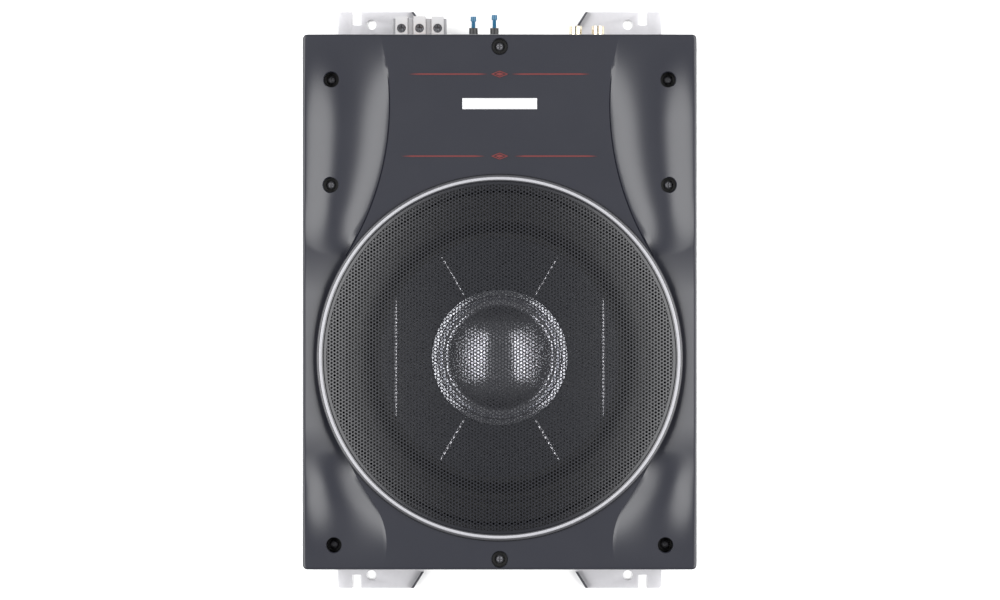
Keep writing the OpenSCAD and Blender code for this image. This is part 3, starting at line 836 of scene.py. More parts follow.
def cover_block_mesh():
    """Closed block under the cover's height field."""
    props = bpy.context.scene.sub_cabinet
    round_r = props.edge_radius
    verts = []
    rows = cover_rows()
    width = 0
    for y in rows:
        xs, side = cover_columns(y)
        width = len(xs)
        left = -np.abs(xs)
        z = np.zeros(width)
        scooped = np.zeros(width, bool)
        scooped[: side - 1] = True
        scooped[width - side + 1:] = True
        depth = side_height(left, y, -half_width_at(y), crease_x(y), props.scoop_depth)
        z[scooped] = depth[scooped]
        groove = smoothstep((GROOVE_END_Y - y) / GROOVE_FADE) * (y > WOOFER.y)
        z[[side, width - 1 - side]] = -props.groove_width * GROOVE_DEPTH_SHARE * groove
        gap = np.clip(outline_gap(xs, y), 0, round_r)
        z -= round_r - np.sqrt(round_r**2 - (round_r - gap) ** 2)
        verts += [(x, y, PANEL_Z + h) for x, h in zip(xs, z)]
    count = len(rows)
    faces = []
    for j in range(count - 1):
        for i in range(width - 1):
            a = j * width + i
            faces.append((a, a + 1, a + width + 1, a + width))
    rim = list(range(width))
    rim += [j * width + width - 1 for j in range(1, count)]
    rim += [(count - 1) * width + i for i in range(width - 2, -1, -1)]
    rim += [j * width for j in range(count - 2, 0, -1)]
    base = len(verts)
    verts += [(verts[i][0], verts[i][1], COVER_LOW.z) for i in rim]
    for k, top in enumerate(rim):
        n = (k + 1) % len(rim)
        faces.append((rim[n], top, base + k, base + n))
    faces.append(tuple(range(base, base + len(rim))))
    return mesh_object("cover_shell", verts, faces)


def make_cover():
    """Cast cover: height field, woofer well, screw seats, connector window and hollow inside."""
    props = bpy.context.scene.sub_cabinet
    shell = cover_block_mesh()
    seat_z = RING_LOW.z
    above = 0.2
    boss_r, boss_foot = RING_R - 0.1 * MM, 20 * MM
    cut(shell, drum("boss", WOOFER.x, WOOFER.y, boss_r, boss_foot, seat_z, 256), "UNION")
    wall = props.wall
    roof = 11.5 * MM
    low = Vector((-HALF_W + wall, COVER_LOW.y + wall, 0))
    high = Vector((HALF_W - wall, COVER_HIGH.y - wall, PANEL_Z - roof))
    cut(shell, block("hollow", low, high))
    recess_r = RING_R + 0.25 * MM
    cut(shell, drum("recess", WOOFER.x, WOOFER.y, recess_r, seat_z, above, 256))
    well_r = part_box("woofer_basket")[1].x + 1 * MM
    cut(shell, drum("well", WOOFER.x, WOOFER.y, well_r, 0, above, 256))
    window_low, window_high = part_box("connector_panel")
    sill, through = 6 * MM, 20 * MM
    cut(shell, block(
        "window",
        (window_low.x + sill, window_high.y - through, 9 * MM),
        (window_high.x - sill, window_high.y + through, 49 * MM),
    ))
    for low, high in islands("cover_screws"):
        x, y = (low.x + high.x) / 2, (low.y + high.y) / 2
        cut_screw_seat(shell, x, y, high.z - COVER_HEAD_H)
    finish_piece(shell, cast_paint(), nodes=("top_cover",), degrees=24)
    sharpen_panel(shell.data)


def cut_screw_seat(shell, x, y, seat):
    """Counterbore with a small chamfer at its mouth, and the screw's hole below it."""
    radius = SEAT_R["scoop" if abs(x) > CENTRE_SCREW_X else "centre"]
    chamfer = 0.25 * MM
    mouth_r = radius + 2 * chamfer
    top = PANEL_Z + 5 * MM
    surface = screw_surface(x, y)
    tool = lathe("seat", [
        (0, seat), (radius, seat), (radius, surface - chamfer), (mouth_r, surface + chamfer),
        (mouth_r, top), (0, top),
    ], Vector((x, y, 0)), 64, False)
    cut(shell, tool)
    hole_r, hole_top = 1.7 * MM, 0.1
    cut(shell, drum("hole", x, y, hole_r, 0, hole_top, 32))


def sharpen_panel(mesh):
    """Keeps the flat panel's shading apart from that of the hollows and rounded edges beside it."""
    bm = bmesh.new()
    bm.from_mesh(mesh)
    level = 0.01 * MM
    upward = [f for f in bm.faces if f.normal.z > 0.99999]
    flat = {f for f in upward if abs(f.calc_center_median().z - PANEL_Z) < level}
    for edge in bm.edges:
        if len(edge.link_faces) == 2 and len(flat.intersection(edge.link_faces)) == 1:
            edge.smooth = False
    bm.to_mesh(mesh)
    bm.free()


def screw_surface(x, y):
    """Height of the cover's surface where a screw stands."""
    left = -abs(x)
    crease = crease_x(y)
    if left > crease:
        return PANEL_Z
    depth = bpy.context.scene.sub_cabinet.scoop_depth
    return PANEL_Z + float(side_height(np.array([left]), y, -half_width_at(y), crease, depth)[0])


# ---- screws ----


def points_tree():
    """Geometry Nodes tree that sets a copy of one object at each point."""
    found = bpy.data.node_groups.get("Repeat At Points")
    if found:
        return found
    tree = bpy.data.node_groups.new("Repeat At Points", "GeometryNodeTree")
    for label, kind in (("Points", "NodeSocketGeometry"), ("Part", "NodeSocketObject"),
                        ("Size", "NodeSocketFloat"), ("Material", "NodeSocketMaterial")):
        tree.interface.new_socket(label, in_out="INPUT", socket_type=kind)
    tree.interface.new_socket("Geometry", in_out="OUTPUT", socket_type="NodeSocketGeometry")
    inlet = tree.nodes.new("NodeGroupInput")
    outlet = tree.nodes.new("NodeGroupOutput")
    info = tree.nodes.new("GeometryNodeObjectInfo")
    place = tree.nodes.new("GeometryNodeInstanceOnPoints")
    real = tree.nodes.new("GeometryNodeRealizeInstances")
    paint = tree.nodes.new("GeometryNodeSetMaterial")
    links = tree.links
    links.new(inlet.outputs["Part"], info.inputs["Object"])
    links.new(inlet.outputs["Points"], place.inputs["Points"])
    links.new(info.outputs["Geometry"], place.inputs["Instance"])
    links.new(inlet.outputs["Size"], place.inputs["Scale"])
    links.new(place.outputs["Instances"], real.inputs["Geometry"])
    links.new(real.outputs["Geometry"], paint.inputs["Geometry"])
    links.new(inlet.outputs["Material"], paint.inputs["Material"])
    links.new(paint.outputs["Geometry"], outlet.inputs["Geometry"])
    return tree


def set_inputs(modifier, **values):
    """Sets a Geometry Nodes modifier's inputs by their names, through the sockets' identifiers."""
    for item in modifier.node_group.interface.items_tree:
        key = item.name.replace(" ", "_")
        if item.item_type == "SOCKET" and key in values:
            modifier[item.identifier] = values[key]


def repeat(name, part, points, mat):
    """Real copies of a part at points, as one mesh. The part itself is removed."""
    obj = mesh_object(name, points, [])
    modifier = obj.modifiers.new("Repeat", "NODES")
    modifier.node_group = points_tree()
    set_inputs(modifier, Part=part, Size=1.0, Material=mat)
    apply_modifiers(obj)
    bpy.data.objects.remove(part)
    return obj


def screw_part(head_r, head_h, shank_r, length):
    """Pan head screw with a cross recess, its seat at the origin."""
    dome = [
        (head_r, 0), (head_r, head_h * 0.25), (head_r * 0.93, head_h * 0.55),
        (head_r * 0.72, head_h * 0.85), (head_r * 0.4, head_h * 0.98), (0, head_h),
    ]
    profile = [(0, -length), (shank_r * 0.8, -length), (shank_r, -length + 0.4 * MM), (shank_r, 0)] + dome
    screw = lathe("screw", profile, Vector((0, 0, 0)), 48, False)
    for size in ((1, 0.2), (0.2, 1)):
        reach_x, reach_y = (head_r * 0.56 * s for s in size)
        tool = block("cross", (-reach_x, -reach_y, head_h * 0.55), (reach_x, reach_y, head_h * 2))
        cut(screw, tool)
    return smooth(screw)


def screw_seats(node, head_h):
    """Where the heads of a node's screws sit."""
    return [((low.x + high.x) / 2, (low.y + high.y) / 2, high.z - head_h) for low, high in islands(node)]


def make_cover_screws():
    """Eight pan heads in the cover's seats, over black discs that paint the shade on the seats' floors."""
    points = screw_seats("cover_screws", COVER_HEAD_H)
    low, high = islands("cover_screws")[0]
    head_r = (high.x - low.x) / 2
    part = screw_part(head_r, COVER_HEAD_H, 1.5 * MM, 16 * MM)
    screws = repeat("cover_screw_set", part, points, screw_black())
    finish_piece(screws, screw_black(), nodes=("cover_screws",))
    # Black discs under the heads: painted shade on the floors of the deep seats.
    bore, outer, thick = 1.55 * MM, 4.6 * MM, 0.5 * MM
    washer = lathe("washer", [(bore, 0), (outer, 0), (outer, thick), (bore, thick)], Vector((0, 0, 0)), 48)
    seat_shade_discs = repeat("cover_washer_set", washer, points, foam_black())
    finish_piece(seat_shade_discs, foam_black())


def make_basket_screws():
    """Ring of screws that holds the woofer down."""
    height = 1.4 * MM
    points = screw_seats("basket_screws", height)
    part = screw_part(2.1 * MM, height, 1.2 * MM, 6 * MM)
    screws = repeat("basket_screw_set", part, points, screw_black())
    finish_piece(screws, screw_black(), nodes=("basket_screws",))


# ---- ring and grille ----


def make_trim_ring():
    """Grey ring with its raised lip, and the bright band let into it."""
    seat = RING_LOW.z
    top = RING_HIGH.z
    band_low, band_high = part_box("trim_band")
    band_r = (band_high.x - band_low.x) / 2
    grille_r = (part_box("grille_mesh")[1].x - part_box("grille_mesh")[0].x) / 2
    inner = grille_r + 0.1 * MM
    ledge = RING_R - 9.3 * MM
    shelf = seat + 2.5 * MM
    chamfer = 0.3 * MM
    shoulder = top - 2 * MM
    round_w, round_h = 1.2 * MM, 1.9 * MM
    profile = [(ledge, seat), (RING_R - chamfer, seat), (RING_R, seat + chamfer), (RING_R, shoulder)]
    profile += [(RING_R - round_w + round_w * math.cos(a), shoulder + round_h * math.sin(a))
                for a in (0.3, 0.6, 0.9, 1.2, 1.57)]
    profile += [(band_r + 0.1 * MM, top - 0.15 * MM), (band_r + 0.1 * MM, top - 0.7 * MM),
                (inner + 0.5 * MM, top - 0.7 * MM), (inner + 0.5 * MM, top - 0.2 * MM),
                (inner, top - 0.5 * MM), (inner, shelf), (ledge, shelf)]
    ring = lathe("trim_ring_piece", profile, segments=256)
    finish_piece(ring, rim_grey(), nodes=("trim_ring",))
    width = 1.9 * MM
    crown = 0.6 * MM
    arch = [(band_r - width * (1 - math.cos(a)) / 2, band_high.z - crown + crown * math.sin(a))
            for a in [math.pi * i / 8 for i in range(9)]]
    band = lathe("trim_band_piece", arch + [(band_r - width, band_low.z), (band_r, band_low.z)], segments=256)
    finish_piece(band, bright_band(), nodes=("trim_band",))


def hex_cell(circumradius, hole):
    """One six-sided cell of the sheet with a six-sided hole in it."""
    verts = []
    for radius in (circumradius, hole):
        verts += [(radius * math.cos(math.radians(60 * k)), radius * math.sin(math.radians(60 * k)), 0)
                  for k in range(6)]
    faces = [(k, (k + 1) % 6, 6 + (k + 1) % 6, 6 + k) for k in range(6)]
    mesh = bpy.data.meshes.new("cell")
    mesh.from_pydata(verts, [], faces)
    return new_object("cell", mesh)


def grille_tree():
    """Geometry Nodes tree of a perforated dome: two lattices of cells, cut to a ring and domed."""
    found = bpy.data.node_groups.get("Perforated Dome")
    if found:
        return found
    tree = bpy.data.node_groups.new("Perforated Dome", "GeometryNodeTree")
    sizes = ["Pitch", "Inner Radius", "Outer Radius", "Sheet Radius", "Dome Height", "Thickness"]
    tree.interface.new_socket("Cell", in_out="INPUT", socket_type="NodeSocketObject")
    for label in sizes:
        tree.interface.new_socket(label, in_out="INPUT", socket_type="NodeSocketFloat")
    for label in ("Columns", "Rows"):
        tree.interface.new_socket(label, in_out="INPUT", socket_type="NodeSocketInt")
    tree.interface.new_socket("Centre", in_out="INPUT", socket_type="NodeSocketVector")
    tree.interface.new_socket("Material", in_out="INPUT", socket_type="NodeSocketMaterial")
    tree.interface.new_socket("Geometry", in_out="OUTPUT", socket_type="NodeSocketGeometry")
    links = tree.links
    inlet = tree.nodes.new("NodeGroupInput")
    outlet = tree.nodes.new("NodeGroupOutput")
    pitch = inlet.outputs["Pitch"]
    across = math_node(tree, "MULTIPLY", pitch, math.sqrt(3))
    size_x = math_node(tree, "MULTIPLY", math_node(tree, "SUBTRACT", inlet.outputs["Columns"], 1.0), across)
    size_y = math_node(tree, "MULTIPLY", math_node(tree, "SUBTRACT", inlet.outputs["Rows"], 1.0), pitch)
    lattices = tree.nodes.new("GeometryNodeJoinGeometry")
    for shifted in (False, True):
        grid = tree.nodes.new("GeometryNodeMeshGrid")
        links.new(size_x, grid.inputs["Size X"])
        links.new(size_y, grid.inputs["Size Y"])
        links.new(inlet.outputs["Columns"], grid.inputs["Vertices X"])
        links.new(inlet.outputs["Rows"], grid.inputs["Vertices Y"])
        part = grid.outputs["Mesh"]
        if shifted:
            half = tree.nodes.new("ShaderNodeCombineXYZ")
            links.new(math_node(tree, "MULTIPLY", across, 0.5), half.inputs["X"])
            links.new(math_node(tree, "MULTIPLY", pitch, 0.5), half.inputs["Y"])
            move = tree.nodes.new("GeometryNodeTransform")
            links.new(part, move.inputs["Geometry"])
            links.new(half.outputs["Vector"], move.inputs["Translation"])
            part = move.outputs["Geometry"]
        links.new(part, lattices.inputs["Geometry"])
    position = tree.nodes.new("GeometryNodeInputPosition")
    radius = add_node(tree, "ShaderNodeVectorMath", operation="LENGTH")
    links.new(position.outputs["Position"], radius.inputs[0])
    beyond = math_node(tree, "GREATER_THAN", radius.outputs["Value"], inlet.outputs["Outer Radius"])
    within = math_node(tree, "LESS_THAN", radius.outputs["Value"], inlet.outputs["Inner Radius"])
    outside = math_node(tree, "MAXIMUM", beyond, within)
    trim = add_node(tree, "GeometryNodeDeleteGeometry", domain="POINT")
    links.new(lattices.outputs["Geometry"], trim.inputs["Geometry"])
    links.new(outside, trim.inputs["Selection"])
    info = tree.nodes.new("GeometryNodeObjectInfo")
    links.new(inlet.outputs["Cell"], info.inputs["Object"])
    place = tree.nodes.new("GeometryNodeInstanceOnPoints")
    links.new(trim.outputs["Geometry"], place.inputs["Points"])
    links.new(info.outputs["Geometry"], place.inputs["Instance"])
    real = tree.nodes.new("GeometryNodeRealizeInstances")
    links.new(place.outputs["Instances"], real.inputs["Geometry"])
    weld = tree.nodes.new("GeometryNodeMergeByDistance")
    weld.inputs["Distance"].default_value = 0.02 * MM
    links.new(real.outputs["Geometry"], weld.inputs["Geometry"])
    share = math_node(tree, "DIVIDE", radius.outputs["Value"], inlet.outputs["Sheet Radius"])
    fall = math_node(tree, "SUBTRACT", 1.0, math_node(tree, "POWER", share, 4.0))
    lift = tree.nodes.new("ShaderNodeCombineXYZ")
    links.new(math_node(tree, "MULTIPLY", fall, inlet.outputs["Dome Height"]), lift.inputs["Z"])
    raised = add_node(tree, "ShaderNodeVectorMath", operation="ADD")
    links.new(lift.outputs["Vector"], raised.inputs[0])
    links.new(inlet.outputs["Centre"], raised.inputs[1])
    dome = tree.nodes.new("GeometryNodeSetPosition")
    links.new(weld.outputs["Geometry"], dome.inputs["Geometry"])
    links.new(raised.outputs["Vector"], dome.inputs["Offset"])
    wall = tree.nodes.new("ShaderNodeCombineXYZ")
    links.new(inlet.outputs["Thickness"], wall.inputs["Z"])
    thicken = tree.nodes.new("GeometryNodeExtrudeMesh")
    thicken.inputs["Individual"].default_value = False
    links.new(dome.outputs["Geometry"], thicken.inputs["Mesh"])
    links.new(wall.outputs["Vector"], thicken.inputs["Offset"])
    thicken.inputs["Offset Scale"].default_value = 1.0
    again = tree.nodes.new("GeometryNodeRealizeInstances")
    links.new(thicken.outputs["Mesh"], again.inputs["Geometry"])
    paint = tree.nodes.new("GeometryNodeSetMaterial")
    links.new(again.outputs["Geometry"], paint.inputs["Geometry"])
    links.new(inlet.outputs["Material"], paint.inputs["Material"])
    links.new(paint.outputs["Geometry"], outlet.inputs["Geometry"])
    return tree


def make_grille():
    """Perforated steel dome and its plain rim."""
    props = bpy.context.scene.sub_grille
    low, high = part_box("grille_mesh")
    sheet_r = (high.x - low.x) / 2
    rim_z = low.z
    dome = high.z - low.z - props.thickness
    disc_r = sheet_r - props.rim_width
    cell = hex_cell(props.pitch / math.sqrt(3), props.hole / 2)
    columns = 2 * math.ceil(sheet_r / (props.pitch * math.sqrt(3))) + 1
    rows = 2 * math.ceil(sheet_r / props.pitch) + 1
    split = 0.7 * disc_r
    for name, inner, outer in (("grille_middle", -1, split), ("grille_edge", split, disc_r)):
        obj = mesh_object(name, [(0, 0, 0)], [])
        modifier = obj.modifiers.new("Perforated", "NODES")
        modifier.node_group = grille_tree()
        set_inputs(
            modifier, Cell=cell, Pitch=props.pitch, Inner_Radius=float(inner), Outer_Radius=outer,
            Sheet_Radius=sheet_r, Dome_Height=dome, Thickness=props.thickness, Columns=columns, Rows=rows,
            Centre=(WOOFER.x, WOOFER.y, rim_z), Material=mesh_black(),
        )
        apply_modifiers(obj)
        finish_piece(obj, mesh_black(), nodes=("grille_mesh",), degrees=None)
    bpy.data.objects.remove(cell)
    steps = 8
    inner = disc_r - props.pitch * 0.1
    top = [(r, rim_z + props.thickness + 0.03 * MM + dome * (1 - (r / sheet_r) ** 4))
           for r in [inner + (sheet_r - inner) * i / steps for i in range(steps + 1)]]
    under = [(r, z - 0.8 * props.thickness) for r, z in reversed(top)]
    rim = lathe("grille_rim", top + under, segments=256)
    finish_piece(rim, mesh_black())


# ---- decoration ----


def make_panel_trim():
    """Red pin stripes with plain lozenges, and a plain silver badge bar."""
    low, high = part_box("pin_stripes")
    thick = high.z - low.z
    sunk = 0.1 * MM
    stripe_half = 10 * MM
    parts = []
    for box_low, box_high in islands("pin_stripes"):
        cx, cy = (box_low.x + box_high.x) / 2, (box_low.y + box_high.y) / 2
        hx, hy = (box_high.x - box_low.x) / 2, (box_high.y - box_low.y) / 2
        if hx > stripe_half:
            tip = 6 * MM
            loop = [(cx - hx, cy), (cx - hx + tip, cy - hy), (cx + hx - tip, cy - hy),
                    (cx + hx, cy), (cx + hx - tip, cy + hy), (cx - hx + tip, cy + hy)]
            parts.append(plate("stripe", [loop], low.z - sunk, low.z + thick * 0.6))
            continue
        for scale, hollow in ((1.0, 0.72), (0.5, None)):
            tips = ((1, 0), (0, 1), (-1, 0), (0, -1))
            outer = [(cx + hx * scale * sx, cy + hy * scale * sy) for sx, sy in tips]
            loops = [outer]
            if hollow:
                loops.append([(cx + (x - cx) * hollow, cy + (y - cy) * hollow) for x, y in reversed(outer)])
            parts.append(plate("lozenge", loops, low.z - sunk, low.z + thick))
    stripes = merge("pin_stripe_set", parts)
    finish_piece(stripes, red_enamel(), nodes=("pin_stripes",))
    bars = []
    for box_low, box_high in islands("badge_plate"):
        bar = block("bar", box_low - Vector((0, 0, sunk)), box_high)
        bars.append(bevel(bar, 0.2 * MM))
    finish_piece(merge("badge_bars", bars), badge_metal(), nodes=("badge_plate",), degrees=20)


# ---- woofer ----

SKIN = 0.5 * MM


def sheet_profile(path, thickness):
    """Closed profile of a sheet that lies on a path of (radius, height) points."""
    return list(path) + [(r, z - thickness) for r, z in reversed(path)]


def cone_height(r, low_r, low_z, high_r, high_z):
    return low_z + (high_z - low_z) * (r - low_r) / (high_r - low_r)


def make_cone():
    """Cone with six flat facets pressed into it, and bright silver ribs along their edges whose colour paints
    the glints of the ridges.
    """
    props = bpy.context.scene.sub_woofer
    low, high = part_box("cone")
    outer = (high.x - low.x) / 2 - 0.1 * MM
    neck = 26.4 * MM
    neck_z = low.z + 3.3 * MM
    rim_z = high.z - 0.2 * MM
    flat = props.facet_span / 2
    corner = flat / math.cos(math.pi / 6)
    pressed = 0.35
    facet_neck_drop = 1.2 * MM

    def surface(x, y):
        """Height at a point measured from the axis: a six-sided bowl inside a round rim."""
        r = math.hypot(x, y)
        a = math.atan2(y, x)
        sector = (a + math.pi / 6) % (math.pi / 3) - math.pi / 6
        across = r * math.cos(sector)
        edge = flat / math.cos(sector)
        plain = cone_height(r, neck, neck_z, outer, rim_z)
        if r >= edge:
            return plain
        share = max(0, (r - neck) / (edge - neck))
        edge_z = cone_height(edge, neck, neck_z, outer, rim_z)
        facet = cone_height(across, neck, neck_z - facet_neck_drop, flat, edge_z)
        return plain + pressed * (facet - plain) * math.sin(math.pi * min(1, share) / 2 + 0.001)

    segments, rings = 240, 30
    verts = []
    for thick in (0, SKIN):
        for j in range(rings + 1):
            r = neck + (outer - neck) * j / rings
            for k in range(segments):
                a = 2 * math.pi * k / segments
                x, y = r * math.cos(a), r * math.sin(a)
                verts.append((WOOFER.x + x, WOOFER.y + y, surface(x, y) - thick))
    faces = []
    layer = (rings + 1) * segments
    for j in range(rings):
        for k in range(segments):
            n = (k + 1) % segments
            a, b = j * segments, (j + 1) * segments
            faces.append((a + k, a + n, b + n, b + k))
            faces.append((layer + b + k, layer + b + n, layer + a + n, layer + a + k))
    for ring in (0, rings * segments):
        for k in range(segments):
            n = (k + 1) % segments
            faces.append((ring + k, layer + ring + k, layer + ring + n, ring + n))
    cone = mesh_object("cone_skin", verts, faces)
    finish_piece(cone, cone_silver(), CONE_BODY, nodes=("cone",), degrees=40)
    ribs = []
    for start, end in ((-30, 30), (150, 210)):
        a0, a1 = math.radians(start), math.radians(end)
        p0 = (corner * math.cos(a0), corner * math.sin(a0))
        p1 = (corner * math.cos(a1), corner * math.sin(a1))
        ribs.append(rib(p0, p1, surface, props.rib_width))
    spoke_start = 43 * MM
    for degrees, spoke_end, share in ((60, 73.5, 0.7), (120, 73.5, 0.7), (-60, 75, 1), (-120, 75, 1)):
        a = math.radians(degrees)
        p0 = (spoke_start * math.cos(a), spoke_start * math.sin(a))
        p1 = (spoke_end * MM * math.cos(a), spoke_end * MM * math.sin(a))
        ribs.append(rib(p0, p1, surface, props.rib_width * share))
    # The ribs' bright silver is painted highlight for the ridge glints.
    finish_piece(merge("cone_ribs", ribs), rib_bright(), CONE_BODY)


def rib(p0, p1, surface, width):
    """Half-round bead from one point to another, lying on a surface given as a function."""
    steps, sides = 24, 6
    length = math.hypot(p1[0] - p0[0], p1[1] - p0[1])
    along = ((p1[0] - p0[0]) / length, (p1[1] - p0[1]) / length)
    verts = []
    for i in range(steps + 1):
        t = i / steps
        x, y = p0[0] + (p1[0] - p0[0]) * t, p0[1] + (p1[1] - p0[1]) * t
        taper = min(1, 6 * t + 0.2, 6 * (1 - t) + 0.2)
        for k in range(sides + 1):
            a = math.pi * k / sides
            off = width / 2 * math.cos(a) * taper
            up = width * 0.45 * math.sin(a) * taper
            px, py = x - along[1] * off, y + along[0] * off
            verts.append((WOOFER.x + px, WOOFER.y + py, surface(px, py) + up))
    faces = []
    ring = sides + 1
    for i in range(steps):
        for k in range(ring):
            n = (k + 1) % ring
            a = i * ring
            faces.append((a + k, a + n, a + ring + n, a + ring + k))
    faces.append(tuple(range(ring)))
    faces.append(tuple(steps * ring + k for k in range(ring)))
    return mesh_object("rib", verts, faces)


def make_dust_cap():
    """Dished cap: an outer shoulder, a bright raised ring, a groove and a dome."""
    props = bpy.context.scene.sub_woofer
    low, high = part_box("dust_cap")
    outer = (high.x - low.x) / 2
    base = low.z
    path = [(outer, base + 0.4 * MM), (outer * 0.96, base + 1.2 * MM), (outer * 0.92, base + 1.8 * MM)]
    ring_r = outer * 0.89
    path += [(ring_r + 1.1 * MM * math.cos(a), base + 2.1 * MM + 1.2 * MM * math.sin(a))
             for a in [math.pi * i / 8 for i in range(1, 8)]]
    path += [(outer * 0.85, base + 2.0 * MM), (outer * 0.79, base + 2.0 * MM)]
    path += [(outer * 0.775, base + 2.4 * MM)]
    dome_r = outer * 0.765
    rise = props.cap_rise
    steps = 20
    bulge = 2
    path += [(dome_r * (1 - i / steps), base + 2.6 * MM + rise * (1 - (1 - i / steps) ** bulge))
             for i in range(steps + 1)]
    cap = lathe("dust_cap_skin", sheet_profile(path, SKIN), segments=144)
    finish_piece(cap, cap_silver(), CONE_BODY, nodes=("dust_cap",), degrees=50)


def make_suspension():
    """Half-roll surround, corrugated spider and the two tinsel leads."""
    low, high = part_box("surround")
    outer = (high.x - low.x) / 2
    cone_r = (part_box("cone")[1].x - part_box("cone")[0].x) / 2
    roll_in, roll_out = cone_r + 0.6 * MM, outer - 4.1 * MM
    z_in = low.z + 0.6 * MM
    z_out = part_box("woofer_basket")[1].z - 1.2 * MM
    crest = 4.2 * MM
    steps = 28
    path = [(cone_r - 3 * MM, z_in - 0.2 * MM), (roll_in - 0.6 * MM, z_in)]
    for i in range(steps + 1):
        t = i / steps
        height = z_in + (z_out - z_in) * t + crest * math.sin(math.pi * t)
        path.append((roll_in + (roll_out - roll_in) * t, height))
    path += [(roll_out + 0.6 * MM, z_out), (outer, z_out)]
    surround = lathe("surround_roll", sheet_profile(path, SKIN), segments=192)
    finish_mesh(surround, surround_rubber(), "surround", 60)
    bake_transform(surround)
    low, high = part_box("spider")
    inner = 24.95 * MM
    outer = (high.x - low.x) / 2
    mid = (low.z + high.z) / 2
    waves = 8
    steps = 96
    path = []
    for i in range(steps + 1):
        r = inner + (outer - inner) * i / steps
        swing = 0.75 * MM * math.sin(2 * math.pi * waves * i / steps) * smoothstep(min(i, steps - i) / 10)
        path.append((r, mid + float(swing)))
    spider = lathe("spider_disc", sheet_profile(path, 0.35 * MM), segments=144)
    finish_mesh(spider, spider_cloth(), "spider", 60)
    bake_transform(spider)
    low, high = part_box("tinsel_leads")
    leads = merged_copy("tinsel_leads", "tinsel_lead_pair")
    finish_mesh(leads, copper_wire(), "tinsel_leads", 60)
    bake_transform(leads)


def finish_mesh(obj, mat, node, degrees):
    """Material, shading and hidden node of a piece that lies between two bodies."""
    obj.data.materials.clear()
    obj.data.materials.append(mat)
    smooth(obj, degrees)
    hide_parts(node)


# ---- brackets ----

BRACKET_TOE_X = 54.9 * MM
BRACKET_HEEL_Y = 173.9 * MM


def bracket_loops(sx, sy, low, high):
    """Outline with an open slot, and the round hole, of the bracket at one corner."""
    slot_x = 91.5 * MM
    slot_r = 2.9 * MM
    slot_y = 178.6 * MM
    corner = 0.4 * MM
    hole = (82 * MM, 176 * MM, 3.2 * MM)
    nose = 1.8 * MM
    outer_x, tip = max(abs(low.x), abs(high.x)), max(abs(low.y), abs(high.y))
    root = min(abs(low.y), abs(high.y))
    heel = (min(abs(low.x), abs(high.x)), BRACKET_HEEL_Y)
    loop = [(heel[0], root), (outer_x, root)]
    loop += arc(outer_x - nose, tip - nose, nose, 0, 90, 8)
    loop += [(slot_x + slot_r, tip)]
    loop += arc(slot_x + slot_r - corner, slot_y - slot_r + corner, corner, 0, -90, 4)
    loop += arc(slot_x - slot_r + corner, slot_y - slot_r + corner, corner, -90, -180, 4)
    loop += [(slot_x - slot_r, tip), (BRACKET_TOE_X, tip), heel]
    round_hole = arc(hole[0], hole[1], hole[2], 360, 15, 23)
    loops = [loop, round_hole]
    if sx * sy < 0:
        loops = [list(reversed(points)) for points in loops]
    return [[(sx * x, sy * y) for x, y in points] for points in loops]


def make_brackets():
    """Four zinc-plated floor brackets, each with a turned-up end in dark zinc that paints the shade of the
    fold.
    """
    sheet_t = 1.5 * MM
    for n in (1, 2, 3, 4):
        node = f"foot_bracket_{n}"
        low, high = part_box(node)
        sx = 1 if low.x > 0 else -1
        sy = 1 if low.y > 0 else -1
        bracket = plate(node + "_plate", bracket_loops(sx, sy, low, high), 0, sheet_t, 0.15 * MM)
        heel_x = min(abs(low.x), abs(high.x))
        tip = max(abs(low.y), abs(high.y)) - 0.15 * MM
        near, far = 0.05 * MM, 1.6 * MM
        fold = [(heel_x + near, BRACKET_HEEL_Y), (BRACKET_TOE_X + near, tip),
                (BRACKET_TOE_X + far, tip), (heel_x + far, BRACKET_HEEL_Y)]
        lip = plate("lip", [[(sx * x, sy * y) for x, y in fold]], 0.3 * MM, high.z, 0.2 * MM)
        finish_piece(bracket, zinc_plate(), nodes=(node,), degrees=20)
        # The lip's darker zinc is painted shade of the fold.
        finish_piece(lip, shaded_zinc(), nodes=(node,), degrees=20)
    soften("bracket_screws", zinc_plate(), 0.08 * MM)


# ---- connectors ----


def make_connectors():
    """Connector panel and everything that stands out of it."""
    finishes = {
        "connector_panel": (mill_aluminium, 0.15),
        "terminal_housing": (grey_plastic, 0.3),
        "terminal_contacts": (nickel, 0.25),
        "pot_bushes": (black_plastic, 0.2),
        "rca_shells": (gold_plate, 0.2),
        "rca_housing": (black_plastic, 0.2),
        "rca_contacts": (gold_plate, 0.1),
        "high_level_socket": (nylon, 0.3),
        "fuse_holder": (black_plastic, 0.3),
        "fuses": (fuse_orange, 0.4),
        "power_led": (led_lens, 0.2),
        "phase_switch_body": (mill_aluminium, 0.2),
        "phase_slider": (black_plastic, 0.3),
        "gain_shaft": (blue_plastic, 0.15),
        "crossover_shaft": (blue_plastic, 0.15),
        "gain_pot_body": (blue_plastic, 0.2),
        "crossover_pot_body": (blue_plastic, 0.2),
    }
    for n in (1, 2, 3):
        finishes[f"terminal_screw_{n}"] = (screw_steel, 0.15)
        finishes[f"pressure_plate_{n}"] = (nickel, 0.15)
    for node, (mat, width) in finishes.items():
        soften(node, mat(), width * MM)


# ---- tray and the parts inside ----


def make_tray():
    """Steel bottom tray and the foam gasket on it."""
    soften("bottom_tray", black_steel(), 0.25 * MM)
    paint_node("cover_gasket", foam_black())
    paint_node("woofer_gasket", foam_black())


